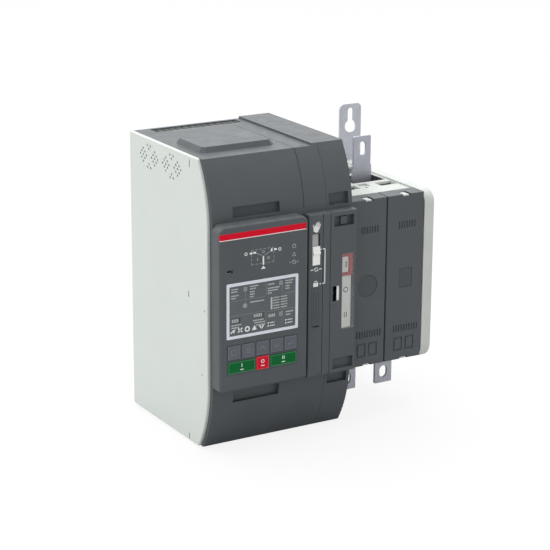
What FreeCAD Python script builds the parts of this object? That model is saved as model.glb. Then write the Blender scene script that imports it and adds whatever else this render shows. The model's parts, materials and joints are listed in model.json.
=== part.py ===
import FreeCAD, Part
import math
import os

# Automatic transfer switch, two poles, millimetres, +Z up, front towards -Y.
# Origin: centre of the rear mounting plane and of the 240 x 268 fixing pattern.

V = FreeCAD.Vector

# ---- driving dimensions: case -------------------------------------------------
CASE_LEFT = -133.0          # outer face of the side plate
CASE_RIGHT = 21.8           # right wall of the mechanism module
HALF_HEIGHT = 140.0
MECH_TOP = 142.0            # mechanism cover stands 2 mm higher
STEP_X = -12.6              # the higher level starts here, on the control cover
PLATE_SETBACK = 4.3         # front edge of the side plate behind the covers
FRONT_Y = -160.5
CURVE_R = 120.0             # front face rolls back with this radius
CURVE_Z = 75.0              # the roll starts at this height, above and below
WALL = 2.5
SIDE_T = 3.0
REAR_T = 2.0
VENT_R = 1.3
SEAM_X = -7.0               # control cover meets mechanism cover
CAP_SEAM_X = -32.0

# ---- rear fixing pattern ------------------------------------------------------
FIX_X = 120.0
FIX_Z = 134.0
FIX_HOLE_R = 3.5
KEY_ENTRY_R = 6.6
KEY_NECK_R = 3.3
KEY_DROP = 16.0             # neck seat to entry hole centre
BRACKET_WIDTH = 25.8
BRACKET_HALF = 141.4

# ---- operator panel -----------------------------------------------------------
HMI_X0 = -130.4
HMI_X1 = -36.0
HMI_Z0 = -76.0
HMI_Z1 = 83.0
HMI_FRONT = -175.0
HMI_CORNER = 7.0            # upper corners
HMI_LOW_CORNER = 3.0
HMI_EDGE = 2.4              # rolled front edge
LCD_X0 = -123.4
LCD_X1 = -46.6
LCD_Z0 = -24.8
LCD_Z1 = 29.0
LCD_BORDER = 3.0
KEY_SIZE = 13.2
KEY_PITCH = 15.2
KEY_X0 = -122.1
KEY_Z0 = -44.6
KEY_GAP = 0.15
KEY_PROUD = 0.4

# ---- selector column and indicator module ------------------------------------
COLUMN_X0 = -32.4
COLUMN_X1 = -8.2
MODULE_X0 = -8.0
MODULE_X1 = 20.8
MODULE_FRONT = -170.0
MODULE_Z0 = -79.0
MODULE_Z1 = 81.0
KNOB_TRAVEL = 12.0
SHUTTER_TRAVEL = 2.6

# ---- poles --------------------------------------------------------------------
POLE_X0 = 22.0
POLE_PITCH = 43.17
POLE_COUNT = 2
POLE_GAP = 0.15
POLE_HALF = 84.0
POLE_TOP = 82.0
POLE_FRONT = -137.0
COVER_FRONT = -156.2
COVER_SEAM = 1.2            # gap between the two pole covers
LUG_OFFSET = 21.5           # lug centre from the pole's left face
LUG_W = 20.0
LUG_T = 2.5
LOAD_TOP = 125.5
LOAD_SLOT_R = 4.5
SOURCE_SLOT_R = 4.4
SOURCE_LOW = -119.6
SOURCE_SPREAD = 46.0        # source lugs in front of and behind the shaft
END_X0 = 108.35
END_X1 = 120.0

# ---- shaft and drive ----------------------------------------------------------
SHAFT_Y = -75.0
SHAFT_R = 6.0
RUN_CLEAR = 0.05
HALF_SWING = 40.0           # degrees each side of the off position
ROTOR_R = 8.0
HUB_R = 14.0
BLADE_T = 4.0
BLADE_W = 14.0
BLADE_R = 56.0
JAW_GAP = 0.1
JAW_T = 3.0
CRANK_R = 20.0
CRANK_X = -38.0
PLUNGER_Y = -57.3
PLUNGER_R = 8.0
GEAR_MODULE = 1.5
GEAR_TEETH = 48
PINION_MODULE = 1.0
PINION_TEETH = 28
LEVER_TEETH = 102
LEVER_Y = SHAFT_Y - PINION_MODULE * (PINION_TEETH + LEVER_TEETH) / 2
LEVER_TILT = 11.0
BACKLASH = 0.25
PRESSURE = math.radians(20)
GEAR_X0 = 12.0
GEAR_X1 = 16.0
PINION_X0 = -3.4
PINION_X1 = 0.6


# ---- small helpers ------------------------------------------------------------
def box(x0, x1, y0, y1, z0, z1):
    return Part.makeBox(x1 - x0, y1 - y0, z1 - z0, V(x0, y0, z0))


def cyl_x(x0, x1, y, z, r):
    return Part.makeCylinder(r, x1 - x0, V(x0, y, z), V(1, 0, 0))


def cyl_y(y0, y1, x, z, r):
    return Part.makeCylinder(r, y1 - y0, V(x, y0, z), V(0, 1, 0))


def cone_y(y0, y1, x, z, r0, r1):
    return Part.makeCone(r0, r1, y1 - y0, V(x, y0, z), V(0, 1, 0))


def cyl_z(z0, z1, x, y, r):
    return Part.makeCylinder(r, z1 - z0, V(x, y, z0), V(0, 0, 1))


def fuse(shapes):
    result = shapes[0]
    for shape in shapes[1:]:
        result = result.fuse(shape)
    return result.removeSplitter()


def cut(shape, tools):
    for tool in tools:
        shape = shape.cut(tool)
    return shape


def turned(shape, y, z, degrees):
    """A copy turned about an axis along +X through (y, z)."""
    result = shape.copy()
    result.rotate(V(0, y, z), V(1, 0, 0), degrees)
    return result


def both_ends(shape):
    """The shape and its mirror image below the plane Z = 0."""
    return [shape, shape.mirror(V(0, 0, 0), V(0, 0, 1))]


def round_box_y(x0, x1, y0, y1, z0, z1, r):
    """A block whose four edges along Y are rounded."""
    shape = box(x0, x1, y0, y1, z0, z1)
    edges = [e for e in shape.Edges if abs(e.tangentAt(e.FirstParameter).y) > 0.99]
    return shape.makeFillet(r, edges)


def front_edges(shape, y):
    """Every edge that lies wholly in the plane Y = y."""
    return [e for e in shape.Edges
            if abs(e.BoundBox.YMin - y) < 1e-4 and abs(e.BoundBox.YMax - y) < 1e-4]


def profile_x(points, x0, x1):
    """Extrude a closed (y, z) outline along X; an (y, z, 'arc') point is the middle of an arc."""
    edges = []
    count = len(points)
    index = 0
    while index < count:
        here = points[index]
        after = points[(index + 1) % count]
        start = V(x0, here[0], here[1])
        if len(after) == 3:
            last = points[(index + 2) % count]
            middle = V(x0, after[0], after[1])
            edges.append(Part.Arc(start, middle, V(x0, last[0], last[1])).toShape())
            index += 2
        else:
            edges.append(Part.makeLine(start, V(x0, after[0], after[1])))
            index += 1
    return Part.Face(Part.Wire(edges)).extrude(V(x1 - x0, 0, 0))


def case_solid(x0, x1, inset=0.0, top=HALF_HEIGHT, rear=-REAR_T):
    """The case section: flat front that rolls back above and below."""
    centre_y = FRONT_Y + CURVE_R
    radius = CURVE_R - inset
    points = [(rear, -HALF_HEIGHT + inset)]
    for sign, limit in ((-1, HALF_HEIGHT - inset), (1, top - inset)):
        sweep = math.asin((limit - CURVE_Z) / radius)
        corner = (centre_y - radius * math.cos(sweep), sign * limit)
        half = sweep / 2
        middle = (centre_y - radius * math.cos(half), sign * (CURVE_Z + radius * math.sin(half)), 'arc')
        tangent = (FRONT_Y + inset, sign * CURVE_Z)
        if sign < 0:
            points += [corner, middle, tangent]
        else:
            points += [tangent, middle, corner]
    points.append((rear, top - inset))
    return profile_x(points, x0, x1)


def keyhole(x, z, y0, y1, up):
    """A hang-on keyhole: the neck seat is at (x, z), its entry hole lower by KEY_DROP."""
    entry_z = z - up * KEY_DROP
    neck = box(x - KEY_NECK_R, x + KEY_NECK_R, y0, y1, min(z, entry_z), max(z, entry_z))
    return [neck, cyl_y(y0, y1, x, z, KEY_NECK_R), cyl_y(y0, y1, x, entry_z, KEY_ENTRY_R)]


def involute_half_angle(teeth, module, radius):
    """Half the angle that one tooth takes up at a radius."""
    pitch_r = module * teeth / 2
    base_r = pitch_r * math.cos(PRESSURE)
    at_pitch = math.pi / (2 * teeth) - BACKLASH / (4 * pitch_r)
    roll = math.acos(min(1.0, base_r / radius))
    return at_pitch + math.tan(PRESSURE) - PRESSURE - (math.tan(roll) - roll)


def tooth(teeth, module, angle, x0, x1, y, z):
    """One involute tooth, its centre line at an angle from +Y towards +Z."""
    pitch_r = module * teeth / 2
    root_r = pitch_r - 1.3 * module
    radii = [root_r - 0.5]
    steps = 5
    low = max(root_r, pitch_r * math.cos(PRESSURE))
    for step in range(steps + 1):
        radii.append(low + (pitch_r + 0.92 * module - low) * step / steps)
    points = []
    for side in (-1, 1):
        flank = []
        for radius in radii:
            turn = angle + side * involute_half_angle(teeth, module, radius)
            flank.append((y + radius * math.cos(turn), z + radius * math.sin(turn)))
        points += flank if side < 0 else flank[::-1]
    return profile_x(points, x0, x1)


def sector(radius, first, last, x0, x1, y, z):
    """A pie slice between two angles in degrees from +Y towards +Z."""
    slice_angle = last - first
    shape = Part.makeCylinder(radius, x1 - x0, V(0, 0, 0), V(0, 0, 1), slice_angle)
    # the cylinder starts at local +X; lay its axis along X with local +X on +Y
    turn = FreeCAD.Rotation(V(0, 1, 0), V(0, 0, 1), V(1, 0, 0), 'XYZ')
    shape.Placement = FreeCAD.Placement(V(x0, y, z), turn)
    shape.rotate(V(0, y, z), V(1, 0, 0), first)
    return shape


# ---- case ---------------------------------------------------------------------
def vent_holes():
    """Two rosettes of small round holes: two rhombs of nine, and a trio above and below."""
    holes = []
    step = 3.2
    for centre_y in (-41.1, -87.5):
        spots = []
        for side in (-11.75, 11.75):
            for i in (-1, 0, 1):
                for j in (-1, 0, 1):
                    spots.append((side + (i + j) * step, (i - j) * step))
        for sign in (-1, 1):
            spots += [(0, sign * 7.5), (-step, sign * 10.7), (step, sign * 10.7)]
        for dy, dz in spots:
            holes.append(cyl_x(CASE_LEFT - 1, CASE_LEFT + SIDE_T + 1, centre_y + dy, 122.4 + dz, VENT_R))
    return holes


# where the control cover hooks into the side plate: (y, z0, z1)
TAB_SLOTS = ((-122.9, 129.5, 136.5), (-119.6, 4.0, 9.5), (-119.2, -138.8, -133.0))


def side_plate():
    plate = case_solid(CASE_LEFT, CASE_LEFT + SIDE_T, rear=0.0)
    behind = plate.copy()
    behind.translate(V(0, PLATE_SETBACK, 0))
    plate = plate.common(behind)
    corners = [e for e in plate.Edges
               if e.BoundBox.XLength > 1 and abs(abs(e.BoundBox.ZMin) - HALF_HEIGHT) < 0.1]
    plate = plate.makeFillet(2.4, corners)
    rim = [e for e in plate.Edges if e.BoundBox.XLength < 1e-4 and abs(e.BoundBox.XMin - CASE_LEFT) < 1e-4]
    plate = plate.makeFillet(1.2, rim)
    holes = vent_holes()
    for y, z0, z1 in TAB_SLOTS:
        holes.append(box(CASE_LEFT - 1, CASE_LEFT + SIDE_T + 1, y - 0.8, y + 0.8, z0, z1))
    holes.append(cyl_x(CASE_LEFT - 1, CASE_LEFT + SIDE_T + 1, -150.3, -2, 1.0))
    holes.append(cyl_x(CASE_LEFT - 1, CASE_LEFT + SIDE_T + 1, -145.3, -66, 1.0))
    return plate.cut(Part.makeCompound(holes))


POST_DEPTH = 4.0
BRACKET_SCREWS = (((END_X0 + END_X1) / 2, 50), ((END_X0 + END_X1) / 2, -50))
REAR_SCREWS = ((-112, 100), (-112, -100), (-56, 112), (-56, -112), (0, 112), (0, -112))


def rear_plate():
    plate = box(CASE_LEFT + SIDE_T, CASE_RIGHT, -REAR_T, 0, -HALF_HEIGHT, HALF_HEIGHT)
    tools = keyhole(-FIX_X, FIX_Z, -REAR_T - 1, 1, 1)
    tools.append(cyl_y(-REAR_T - 1, 1, -FIX_X, -FIX_Z, FIX_HOLE_R))
    for x, z in REAR_SCREWS:
        tools.append(cyl_y(-REAR_T - 1, 1, x, z, 1.6))
        tools.append(cone_y(-1.5, 0, x, z, 1.6, 3.1))
    for row in range(7):
        for x in (-92, -56, -20):
            z = 40 + row * 8
            tools.append(round_box_y(x - 12, x + 12, -REAR_T - 1, 1, z, z + 3, 1.4))
            tools.append(round_box_y(x - 12, x + 12, -REAR_T - 1, 1, -z - 3, -z, 1.4))
    plate = cut(plate, tools)
    # a shallow pressed panel between the two vent fields stiffens the sheet
    panel = round_box_y(-108, 4, -0.6, 1, -26, 26, 8)
    return plate.cut(panel)


def seam_groove(x, z_low):
    """A fine parting line round the case section, above one height."""
    depth = 0.8
    ring = case_solid(x - 0.3, x + 0.3, -0.5).cut(case_solid(x - 1, x + 1, depth, rear=5))
    return ring.common(box(x - 1, x + 1, -200, -REAR_T - 4, z_low, 200))


FRONT_POCKETS = ((-107.8, -58.0, 85.6, 96.0), (-107.8, -58.0, -93.5, -82.5))
MECH_POCKETS = ((-4.4, 17.2, 84.7, 96.4), (-4.0, 18.4, -93.0, -83.5))
POCKET_DEPTH = 5.5


def pocketed(shell, pockets, core):
    """Finger pockets sunk into the front: first their walls, then the hollows."""
    walls = []
    hollows = []
    for x0, x1, z0, z1 in pockets:
        walls.append(box(x0 - 1.5, x1 + 1.5, FRONT_Y - 1, FRONT_Y + POCKET_DEPTH + 1.5, z0 - 1.5, z1 + 1.5))
        hollows.append(box(x0, x1, FRONT_Y - 2, FRONT_Y + POCKET_DEPTH, z0, z1))
    walls = [wall.common(core) for wall in walls]
    return cut(fuse([shell] + walls), hollows)


def top_pad():
    """Raised eight-sided pad with sloping flanks, as (solid, hollow below it)."""
    base = (-119.6, -40, -121.7, -66.8, 139.9, 4.5)
    crown = (-116.6, -43.8, -118.3, -70.4, 145.0, 3.0)
    rings = []
    for x0, x1, y0, y1, z, corner in (base, crown):
        points = [V(x0 + corner, y0, z), V(x1 - corner, y0, z), V(x1, y0 + corner, z), V(x1, y1 - corner, z),
                  V(x1 - corner, y1, z), V(x0 + corner, y1, z), V(x0, y1 - corner, z), V(x0, y0 + corner, z)]
        rings.append(Part.makePolygon(points + [points[0]]))
    return Part.makeLoft(rings, True), box(-112, -49, -113, -75, 130, 143)


def cover_tabs(x0):
    """Hooks on the open side of the control cover, each with a tip in a side plate slot."""
    tabs = []
    reach = HALF_HEIGHT - 1
    for y, low, high in TAB_SLOTS:
        tabs.append(box(x0 - 1.6, x0, y - 0.6, y + 0.6, low + 0.4, high - 0.4))
        if low > 100:
            tabs.append(box(x0, x0 + 4, y - 0.6, y + 0.6, low + 0.4, reach))
        elif high < 0:
            tabs.append(box(x0, x0 + 4, y - 0.6, y + 0.6, -reach, high - 0.4))
        else:
            tabs.append(box(x0, x0 + 3.8, FRONT_Y + 2, y + 0.6, low + 0.3, high - 0.3))
    return tabs


def control_cover():
    x0 = CASE_LEFT + SIDE_T
    outer = case_solid(x0, SEAM_X)
    inner = case_solid(x0 - 1, SEAM_X + 1, WALL, rear=5)
    shell = outer.cut(inner)
    # flange that closes the gap in front of the side plate
    flange = case_solid(x0, x0 + 1.5).cut(case_solid(x0 - 1, x0 + 3, 7.0, rear=5))
    # the last few millimetres are level with the mechanism cover
    lip = case_solid(STEP_X, SEAM_X, top=MECH_TOP)
    lip = lip.common(box(STEP_X, SEAM_X, -200, -REAR_T, HALF_HEIGHT - 1, MECH_TOP))
    pad, hollow = top_pad()
    tools = [
        hollow,
        box(-114, -19, -19, -6, 120, 150),
        box(-28.5, -19.5, -137.4, -136.6, HALF_HEIGHT - 1, 141),
        box(-70, -42, -170, -150, 40, 74),
        box(-30.5, -10.5, -170, -150, -44, 66),
        seam_groove(CAP_SEAM_X, 86),
    ]
    shell = cut(fuse([shell, flange, lip, pad]), tools)
    shell = pocketed(shell, FRONT_POCKETS, outer)
    bosses = rear_bosses(((-112, 100), (-112, -100), (-56, 112), (-56, -112)), outer)
    return cut(fuse([shell] + cover_tabs(x0) + bosses), rear_pilots())


def rear_bosses(spots, outer):
    """Screw posts that stand on a rib from the top or bottom wall, open to the rear plate."""
    posts = []
    for x, z in spots:
        sign = 1 if z > 0 else -1
        post = cyl_y(-REAR_T - POST_DEPTH, -REAR_T, x, z, 4.0)
        reach = sign * (HALF_HEIGHT - 0.2)
        rib = box(x - 1.2, x + 1.2, -REAR_T - POST_DEPTH, -REAR_T, min(z, reach), max(z, reach))
        posts.append(post.fuse(rib).common(outer))
    return posts


def rear_pilots():
    return [cyl_y(-REAR_T - POST_DEPTH, 1, x, z, 1.5) for x, z in REAR_SCREWS]


TIE_SPOTS = ((-12.0, 68.0), (-12.0, -68.0), (-130.0, 68.0), (-130.0, -68.0))
TIE_R = 2.0


def mechanism_cover():
    outer = case_solid(SEAM_X + 0.25, CASE_RIGHT, top=MECH_TOP)
    inner = case_solid(SEAM_X - 1, CASE_RIGHT - WALL, WALL, top=MECH_TOP, rear=5)
    shell = outer.cut(inner)
    rim = [e for e in shell.Edges if e.BoundBox.XLength < 1e-4 and abs(e.BoundBox.XMax - CASE_RIGHT) < 1e-4
           and e.BoundBox.YMax < -5]
    shell = shell.makeFillet(0.8, rim)
    tools = [box(-5.5, 17.9, -170, -150, -66, 66)]
    tools.append(cyl_x(15, 25, SHAFT_Y, 0, 9.0))
    for y, z in TIE_SPOTS:
        tools.append(cyl_x(15, 25, y, z, TIE_R + 0.1))
    shell = cut(shell, tools)
    shell = pocketed(shell, MECH_POCKETS, case_solid(SEAM_X + 0.25, CASE_RIGHT, top=MECH_TOP))
    posts = rear_bosses(((0, 112), (0, -112)), outer)
    return cut(fuse([shell] + posts), rear_pilots())


def flat_screw(x, z, head_r, shank_r, length):
    """Countersunk cross-head screw from the rear, its head just below the mounting plane."""
    top = -0.05
    neck = top - (head_r - shank_r)
    head = cone_y(neck, top, x, z, shank_r, head_r)
    shank = cyl_y(-length, neck, x, z, shank_r)
    slot = box(x - 2, x + 2, -0.95, 1, z - 0.4, z + 0.4)
    cross = box(x - 0.4, x + 0.4, -0.95, 1, z - 2, z + 2)
    return head.fuse(shank).cut(slot).cut(cross)


def case_screws():
    """Countersunk screws in the rear plate and the bracket."""
    screws = [flat_screw(x, z, 3.0, 1.5, REAR_T + POST_DEPTH - 0.5) for x, z in REAR_SCREWS]
    screws += [flat_screw(x, z, 3.6, 2.0, 13.0) for x, z in BRACKET_SCREWS]
    return screws


# ---- operator panel -----------------------------------------------------------
def key_frames():
    """Name and face rectangle (x0, x1, z0, z1) of every key."""
    frames = {}
    for index in range(5):
        x0 = KEY_X0 + index * KEY_PITCH
        frames['menu_key_%d' % (index + 1)] = (x0, x0 + KEY_SIZE, KEY_Z0, KEY_Z0 + KEY_SIZE)
    frames['key_source_1'] = (-121.6, -92.8, -58.4, -47.2)
    frames['key_off'] = (-91.6, -78.0, -59.2, -46.4)
    frames['key_source_2'] = (-76.6, -48.2, -58.4, -47.2)
    return frames


LIGHT_SPOTS = ((-97.5, 55.0, 1.5, 0.9), (-93.7, 55.2, 1.5, 0.9), (-75.6, 55.4, 0.9, 1.4),
               (-71.6, 55.6, 1.5, 0.9), (-84.3, 46.5, 0.7, 4.0))


def hmi_bezel():
    shell = box(HMI_X0, HMI_X1, HMI_FRONT, FRONT_Y, HMI_Z0, HMI_Z1)
    for r, corner_z in ((HMI_CORNER, HMI_Z1), (HMI_LOW_CORNER, HMI_Z0)):
        edges = [e for e in shell.Edges if e.BoundBox.YLength > 5 and abs(e.BoundBox.ZMin - corner_z) < 0.1
                 and e.BoundBox.ZLength < 0.1]
        shell = shell.makeFillet(r, edges)
    shell = shell.makeFillet(HMI_EDGE, front_edges(shell, HMI_FRONT))
    hollow = round_box_y(HMI_X0 + WALL, HMI_X1 - WALL, HMI_FRONT + WALL, FRONT_Y + 1,
                         HMI_Z0 + WALL, HMI_Z1 - WALL, HMI_CORNER - WALL)
    tools = [hollow, round_box_y(LCD_X0, LCD_X1, HMI_FRONT - 1, HMI_FRONT + WALL + 1, LCD_Z0, LCD_Z1, 1.5)]
    for x0, x1, z0, z1 in key_frames().values():
        tools.append(round_box_y(x0 - KEY_GAP, x1 + KEY_GAP, HMI_FRONT - 1, HMI_FRONT + WALL + 1,
                                 z0 - KEY_GAP, z1 + KEY_GAP, 1.0 + KEY_GAP))
    for x, z, half_x, half_z in LIGHT_SPOTS:
        tools.append(box(x - half_x, x + half_x, HMI_FRONT - 1, HMI_FRONT + WALL + 1,
                         z - half_z, z + half_z))
    # a recess round each face: service port, and the shallow tray the keys sit in
    tools.append(box(-123.2, -116.4, HMI_FRONT - 1, HMI_FRONT + 1.2, 38.6, 41.8))
    tools.append(box(-122.2, -117.4, HMI_FRONT, HMI_FRONT + WALL + 1, 39.4, 41.0))
    tools.append(box(KEY_X0 - 1.2, -47.2, HMI_FRONT - 1, HMI_FRONT + 0.25,
                     KEY_Z0 - 0.9, KEY_Z0 + KEY_SIZE + 0.9))
    tools.append(box(KEY_X0 - 1.2, -47.2, HMI_FRONT - 1, HMI_FRONT + 0.25, -60.2, -45.8))
    return cut(shell, tools)


def hmi_back_cover():
    gap = WALL + 0.15
    plate = round_box_y(HMI_X0 + gap, HMI_X1 - gap, FRONT_Y - 2.6, FRONT_Y - 0.2,
                        HMI_Z0 + gap, HMI_Z1 - gap, 4.0)
    plug = box(-66, -46, FRONT_Y - 0.2, FRONT_Y + 9, 46, 68)
    plug = plug.cut(box(-64, -48, FRONT_Y + 2, FRONT_Y + 12, 48, 66))
    pins = []
    for column in range(6):
        for row in range(4):
            pins.append(box(-62.6 + column * 2.6, -61.8 + column * 2.6, FRONT_Y + 1, FRONT_Y + 7.5,
                            51 + row * 4, 51.8 + row * 4))
    return fuse([plate, plug] + pins)


def hmi_board():
    board = box(HMI_X0 + 4, HMI_X1 - 4, -167.6, -166, HMI_Z0 + 4, HMI_Z1 - 4)
    chips = [box(-110, -96, -166, -164, 40, 54), box(-84, -76, -166, -164.5, 42, 50),
             box(-66, -50, -166, -163.4, 58, 66)]
    return fuse([board] + chips)


def lcd_frame():
    outer = round_box_y(LCD_X0 + 0.1, LCD_X1 - 0.1, HMI_FRONT - 0.5, HMI_FRONT + WALL,
                        LCD_Z0 + 0.1, LCD_Z1 - 0.1, 1.4)
    outer = outer.makeFillet(0.4, front_edges(outer, HMI_FRONT - 0.5))
    border = LCD_BORDER
    opening = round_box_y(LCD_X0 + border, LCD_X1 - border, HMI_FRONT - 2, HMI_FRONT + 5,
                          LCD_Z0 + border, LCD_Z1 - border, 0.8)
    return outer.cut(opening)


def lcd_panel():
    border = LCD_BORDER + 0.1
    glass = round_box_y(LCD_X0 + border, LCD_X1 - border, HMI_FRONT + 0.3, HMI_FRONT + WALL,
                        LCD_Z0 + border, LCD_Z1 - border, 0.9)
    back = box(LCD_X0 + 1, LCD_X1 - 1, HMI_FRONT + WALL, -167.7, LCD_Z0 + 1, LCD_Z1 - 1)
    return glass.fuse(back).removeSplitter()


def key(frame):
    x0, x1, z0, z1 = frame
    cap = round_box_y(x0, x1, HMI_FRONT - KEY_PROUD, HMI_FRONT + WALL + 0.8, z0, z1, 1.0)
    cap = cap.makeFillet(0.3, front_edges(cap, HMI_FRONT - KEY_PROUD))
    centre_x = (x0 + x1) / 2
    centre_z = (z0 + z1) / 2
    post = cyl_y(HMI_FRONT + WALL, -168.6, centre_x, centre_z, 2.0)
    return cap.fuse(post).removeSplitter()


def light_pipes():
    pipes = []
    for x, z, half_x, half_z in LIGHT_SPOTS:
        pipes.append(box(x - half_x + 0.05, x + half_x - 0.05, HMI_FRONT - 0.1, -168,
                         z - half_z + 0.05, z + half_z - 0.05))
    return pipes


# ---- selector column ----------------------------------------------------------
KNOB_X0 = -28.4
KNOB_X1 = -20.1
KNOB_Z0 = 32.0
KNOB_Z1 = 50.0
TONGUE_X0 = -27.7           # the tongue that rises behind the front when the knob moves up
TONGUE_X1 = -21.1
TAB_X0 = -28.6
TAB_X1 = -19.4
TAB_Z0 = -30.0
TAB_Z1 = 9.0


def selector_column():
    body = box(COLUMN_X0, COLUMN_X1, MODULE_FRONT, FRONT_Y, MODULE_Z0, MODULE_Z1)
    tall = [e for e in front_edges(body, MODULE_FRONT)]
    body = body.makeFillet(0.9, tall)
    y0 = MODULE_FRONT - 1
    hollow = box(COLUMN_X0 + 2, COLUMN_X1 - 2, MODULE_FRONT + WALL, FRONT_Y + 1, MODULE_Z0 + 2, MODULE_Z1 - 2)
    channel_wall = box(KNOB_X0 - 2, KNOB_X1 + 2, y0 + 2, y0 + 6, KNOB_Z0 - 2, KNOB_Z1 + 26)
    body = body.cut(hollow).fuse(channel_wall)
    tools = [
        box(KNOB_X0 - 0.1, KNOB_X1 + 0.1, y0, y0 + 4.2, KNOB_Z0 - 0.1, KNOB_Z1 + 12.2),
        box(TONGUE_X0 - 0.1, TONGUE_X1 + 0.1, y0 + 2.2, y0 + 4.2, KNOB_Z1 + 12, KNOB_Z1 + 24.4),
        box(-26.4, -23.2, y0, y0 + 7, KNOB_Z0 + 3, KNOB_Z1 + 9.4),
        box(TAB_X0 - 0.1, TAB_X1 + 0.1, y0, y0 + 7, TAB_Z0 - 0.1, TAB_Z1 + 0.1),
        box(-17.0, -16.4, y0, y0 + 2.2, MODULE_Z0 - 1, MODULE_Z1 + 1),
        box(-24.6, -19.4, y0, y0 + 1.3, MODULE_Z0 - 1, MODULE_Z0 + 3),
    ]
    return cut(body, tools).removeSplitter()


def selector_knob():
    """Thumb slide: ribbed cap, tongue above it, neck through the channel, keeper plate behind."""
    front = MODULE_FRONT - 2.2
    cap = box(KNOB_X0, KNOB_X1, front + 1.2, MODULE_FRONT + 3.1, KNOB_Z0, KNOB_Z1)
    cap = cap.makeFillet(0.7, front_edges(cap, front + 1.2))
    ridge_z = KNOB_Z0 + 12
    outline = [(front + 1.4, ridge_z - 2.6), (front + 0.1, ridge_z - 0.8),
               (front + 0.1, ridge_z + 0.8), (front + 1.4, ridge_z + 1.6)]
    ridge = profile_x(outline, KNOB_X0 + 0.3, KNOB_X1 - 0.3)
    neck = box(-26.2, -23.4, MODULE_FRONT + 3, MODULE_FRONT + 5.4, KNOB_Z0 + 3.2, KNOB_Z0 + 15)
    keeper = box(KNOB_X0 - 1, KNOB_X1 + 1, MODULE_FRONT + 5.2, MODULE_FRONT + 6.8, KNOB_Z0 + 1, KNOB_Z0 + 17)
    tongue = box(TONGUE_X0, TONGUE_X1, MODULE_FRONT + 1.4, MODULE_FRONT + 3.1,
                 KNOB_Z1 - 1, KNOB_Z1 + KNOB_TRAVEL)
    return fuse([cap, ridge, tongue, neck, keeper])


def padlock_tab():
    """Pull-out tongue with a cross hole for a padlock shackle and a finger slit below."""
    tab = box(TAB_X0, TAB_X1, MODULE_FRONT - 0.1, MODULE_FRONT + 20, TAB_Z0, TAB_Z1)
    tools = [cyl_x(TAB_X0 - 1, TAB_X1 + 1, MODULE_FRONT + 9, -10, 3.5),
             box(TAB_X0 + 1, TAB_X1 - 1, MODULE_FRONT - 1, MODULE_FRONT + 1.6, TAB_Z0 + 0.6, TAB_Z0 + 2)]
    for index in range(3):
        x = TAB_X0 + 2.0 + index * 2.6
        tools.append(box(x - 0.2, x + 0.2, MODULE_FRONT - 1, MODULE_FRONT + 0.2, TAB_Z0 + 4, TAB_Z1 - 3))
    return cut(tab, tools)


# ---- indicator module ---------------------------------------------------------
WINDOW_X0 = 5.6
WINDOW_X1 = 18.2
WINDOW_Z0 = -36.0
WINDOW_Z1 = 38.4
SLOT_X0 = -5.2
SLOT_X1 = 2.8
SLOT_Z0 = -7.0
SLOT_Z1 = 8.0
POINTER_Z0 = 16.2
POINTER_Z1 = 38.0


def indicator_housing():
    body = box(MODULE_X0, MODULE_X1, MODULE_FRONT, FRONT_Y, MODULE_Z0, MODULE_Z1)
    body = body.makeFillet(0.9, front_edges(body, MODULE_FRONT))
    hollow = box(MODULE_X0 + 2, MODULE_X1 - 1.6, MODULE_FRONT + WALL, FRONT_Y + 1, -62.5, 64)
    behind_slot = box(SLOT_X0 - 0.6, WINDOW_X0 + 0.1, MODULE_FRONT + 1.1, MODULE_FRONT + WALL + 1,
                      SLOT_Z0 - 0.4, SLOT_Z1 + 0.4)
    icon_well = box(-4.4, 17.6, MODULE_FRONT - 1, MODULE_FRONT + 5, 66.3, 76.6)
    icon_well = icon_well.cut(box(4.1, 11.1, MODULE_FRONT + 2.4, MODULE_FRONT + 5, 67.2, 75))
    tools = [
        hollow,
        behind_slot,
        box(SLOT_X0, SLOT_X1, MODULE_FRONT - 1, MODULE_FRONT + 3, SLOT_Z0, SLOT_Z1),
        box(WINDOW_X0, WINDOW_X1, MODULE_FRONT - 1, FRONT_Y + 1, WINDOW_Z0, WINDOW_Z1),
        box(WINDOW_X0 - 0.6, WINDOW_X1 + 0.6, MODULE_FRONT - 1, MODULE_FRONT + 0.8,
            WINDOW_Z0 - 0.6, WINDOW_Z1 + 0.6),
        icon_well,
        box(-4.4, 18.4, MODULE_FRONT - 1, MODULE_FRONT + 4, -75.4, -64.4),
    ]
    return cut(body, tools).removeSplitter()


def indicator_scale():
    """White strip behind the pointer; its ends sit behind the front wall above and below the window."""
    y0 = MODULE_FRONT + WALL
    return box(WINDOW_X0 + 0.2, 16.7, y0, y0 + 1.2, WINDOW_Z0 - 3, WINDOW_Z1 + 3)


def indicator_window():
    """Clear pane set into the rebate round the window."""
    return box(WINDOW_X0 - 0.5, WINDOW_X1 + 0.5, MODULE_FRONT + 0.05, MODULE_FRONT + 0.75,
               WINDOW_Z0 - 0.5, WINDOW_Z1 + 0.5)


def indicator_pointer():
    """Red frame that rides in front of the scale on a side web."""
    y0 = MODULE_FRONT + 1.2
    frame = box(WINDOW_X0 + 0.3, 17.7, y0, y0 + 1.2, POINTER_Z0, POINTER_Z1)
    frame = frame.cut(box(WINDOW_X0 - 1, 13.6, y0 - 1, y0 + 3, POINTER_Z0 + 3.2, POINTER_Z1 - 2.8))
    web = box(17.0, 17.7, y0, -113, POINTER_Z0 + 2, POINTER_Z1 - 2)
    foot = box(GEAR_X1 - 0.15, 17.7, -116, -113, POINTER_Z0 + 2, POINTER_Z1 - 2)
    return fuse([frame, web, foot])


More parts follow.
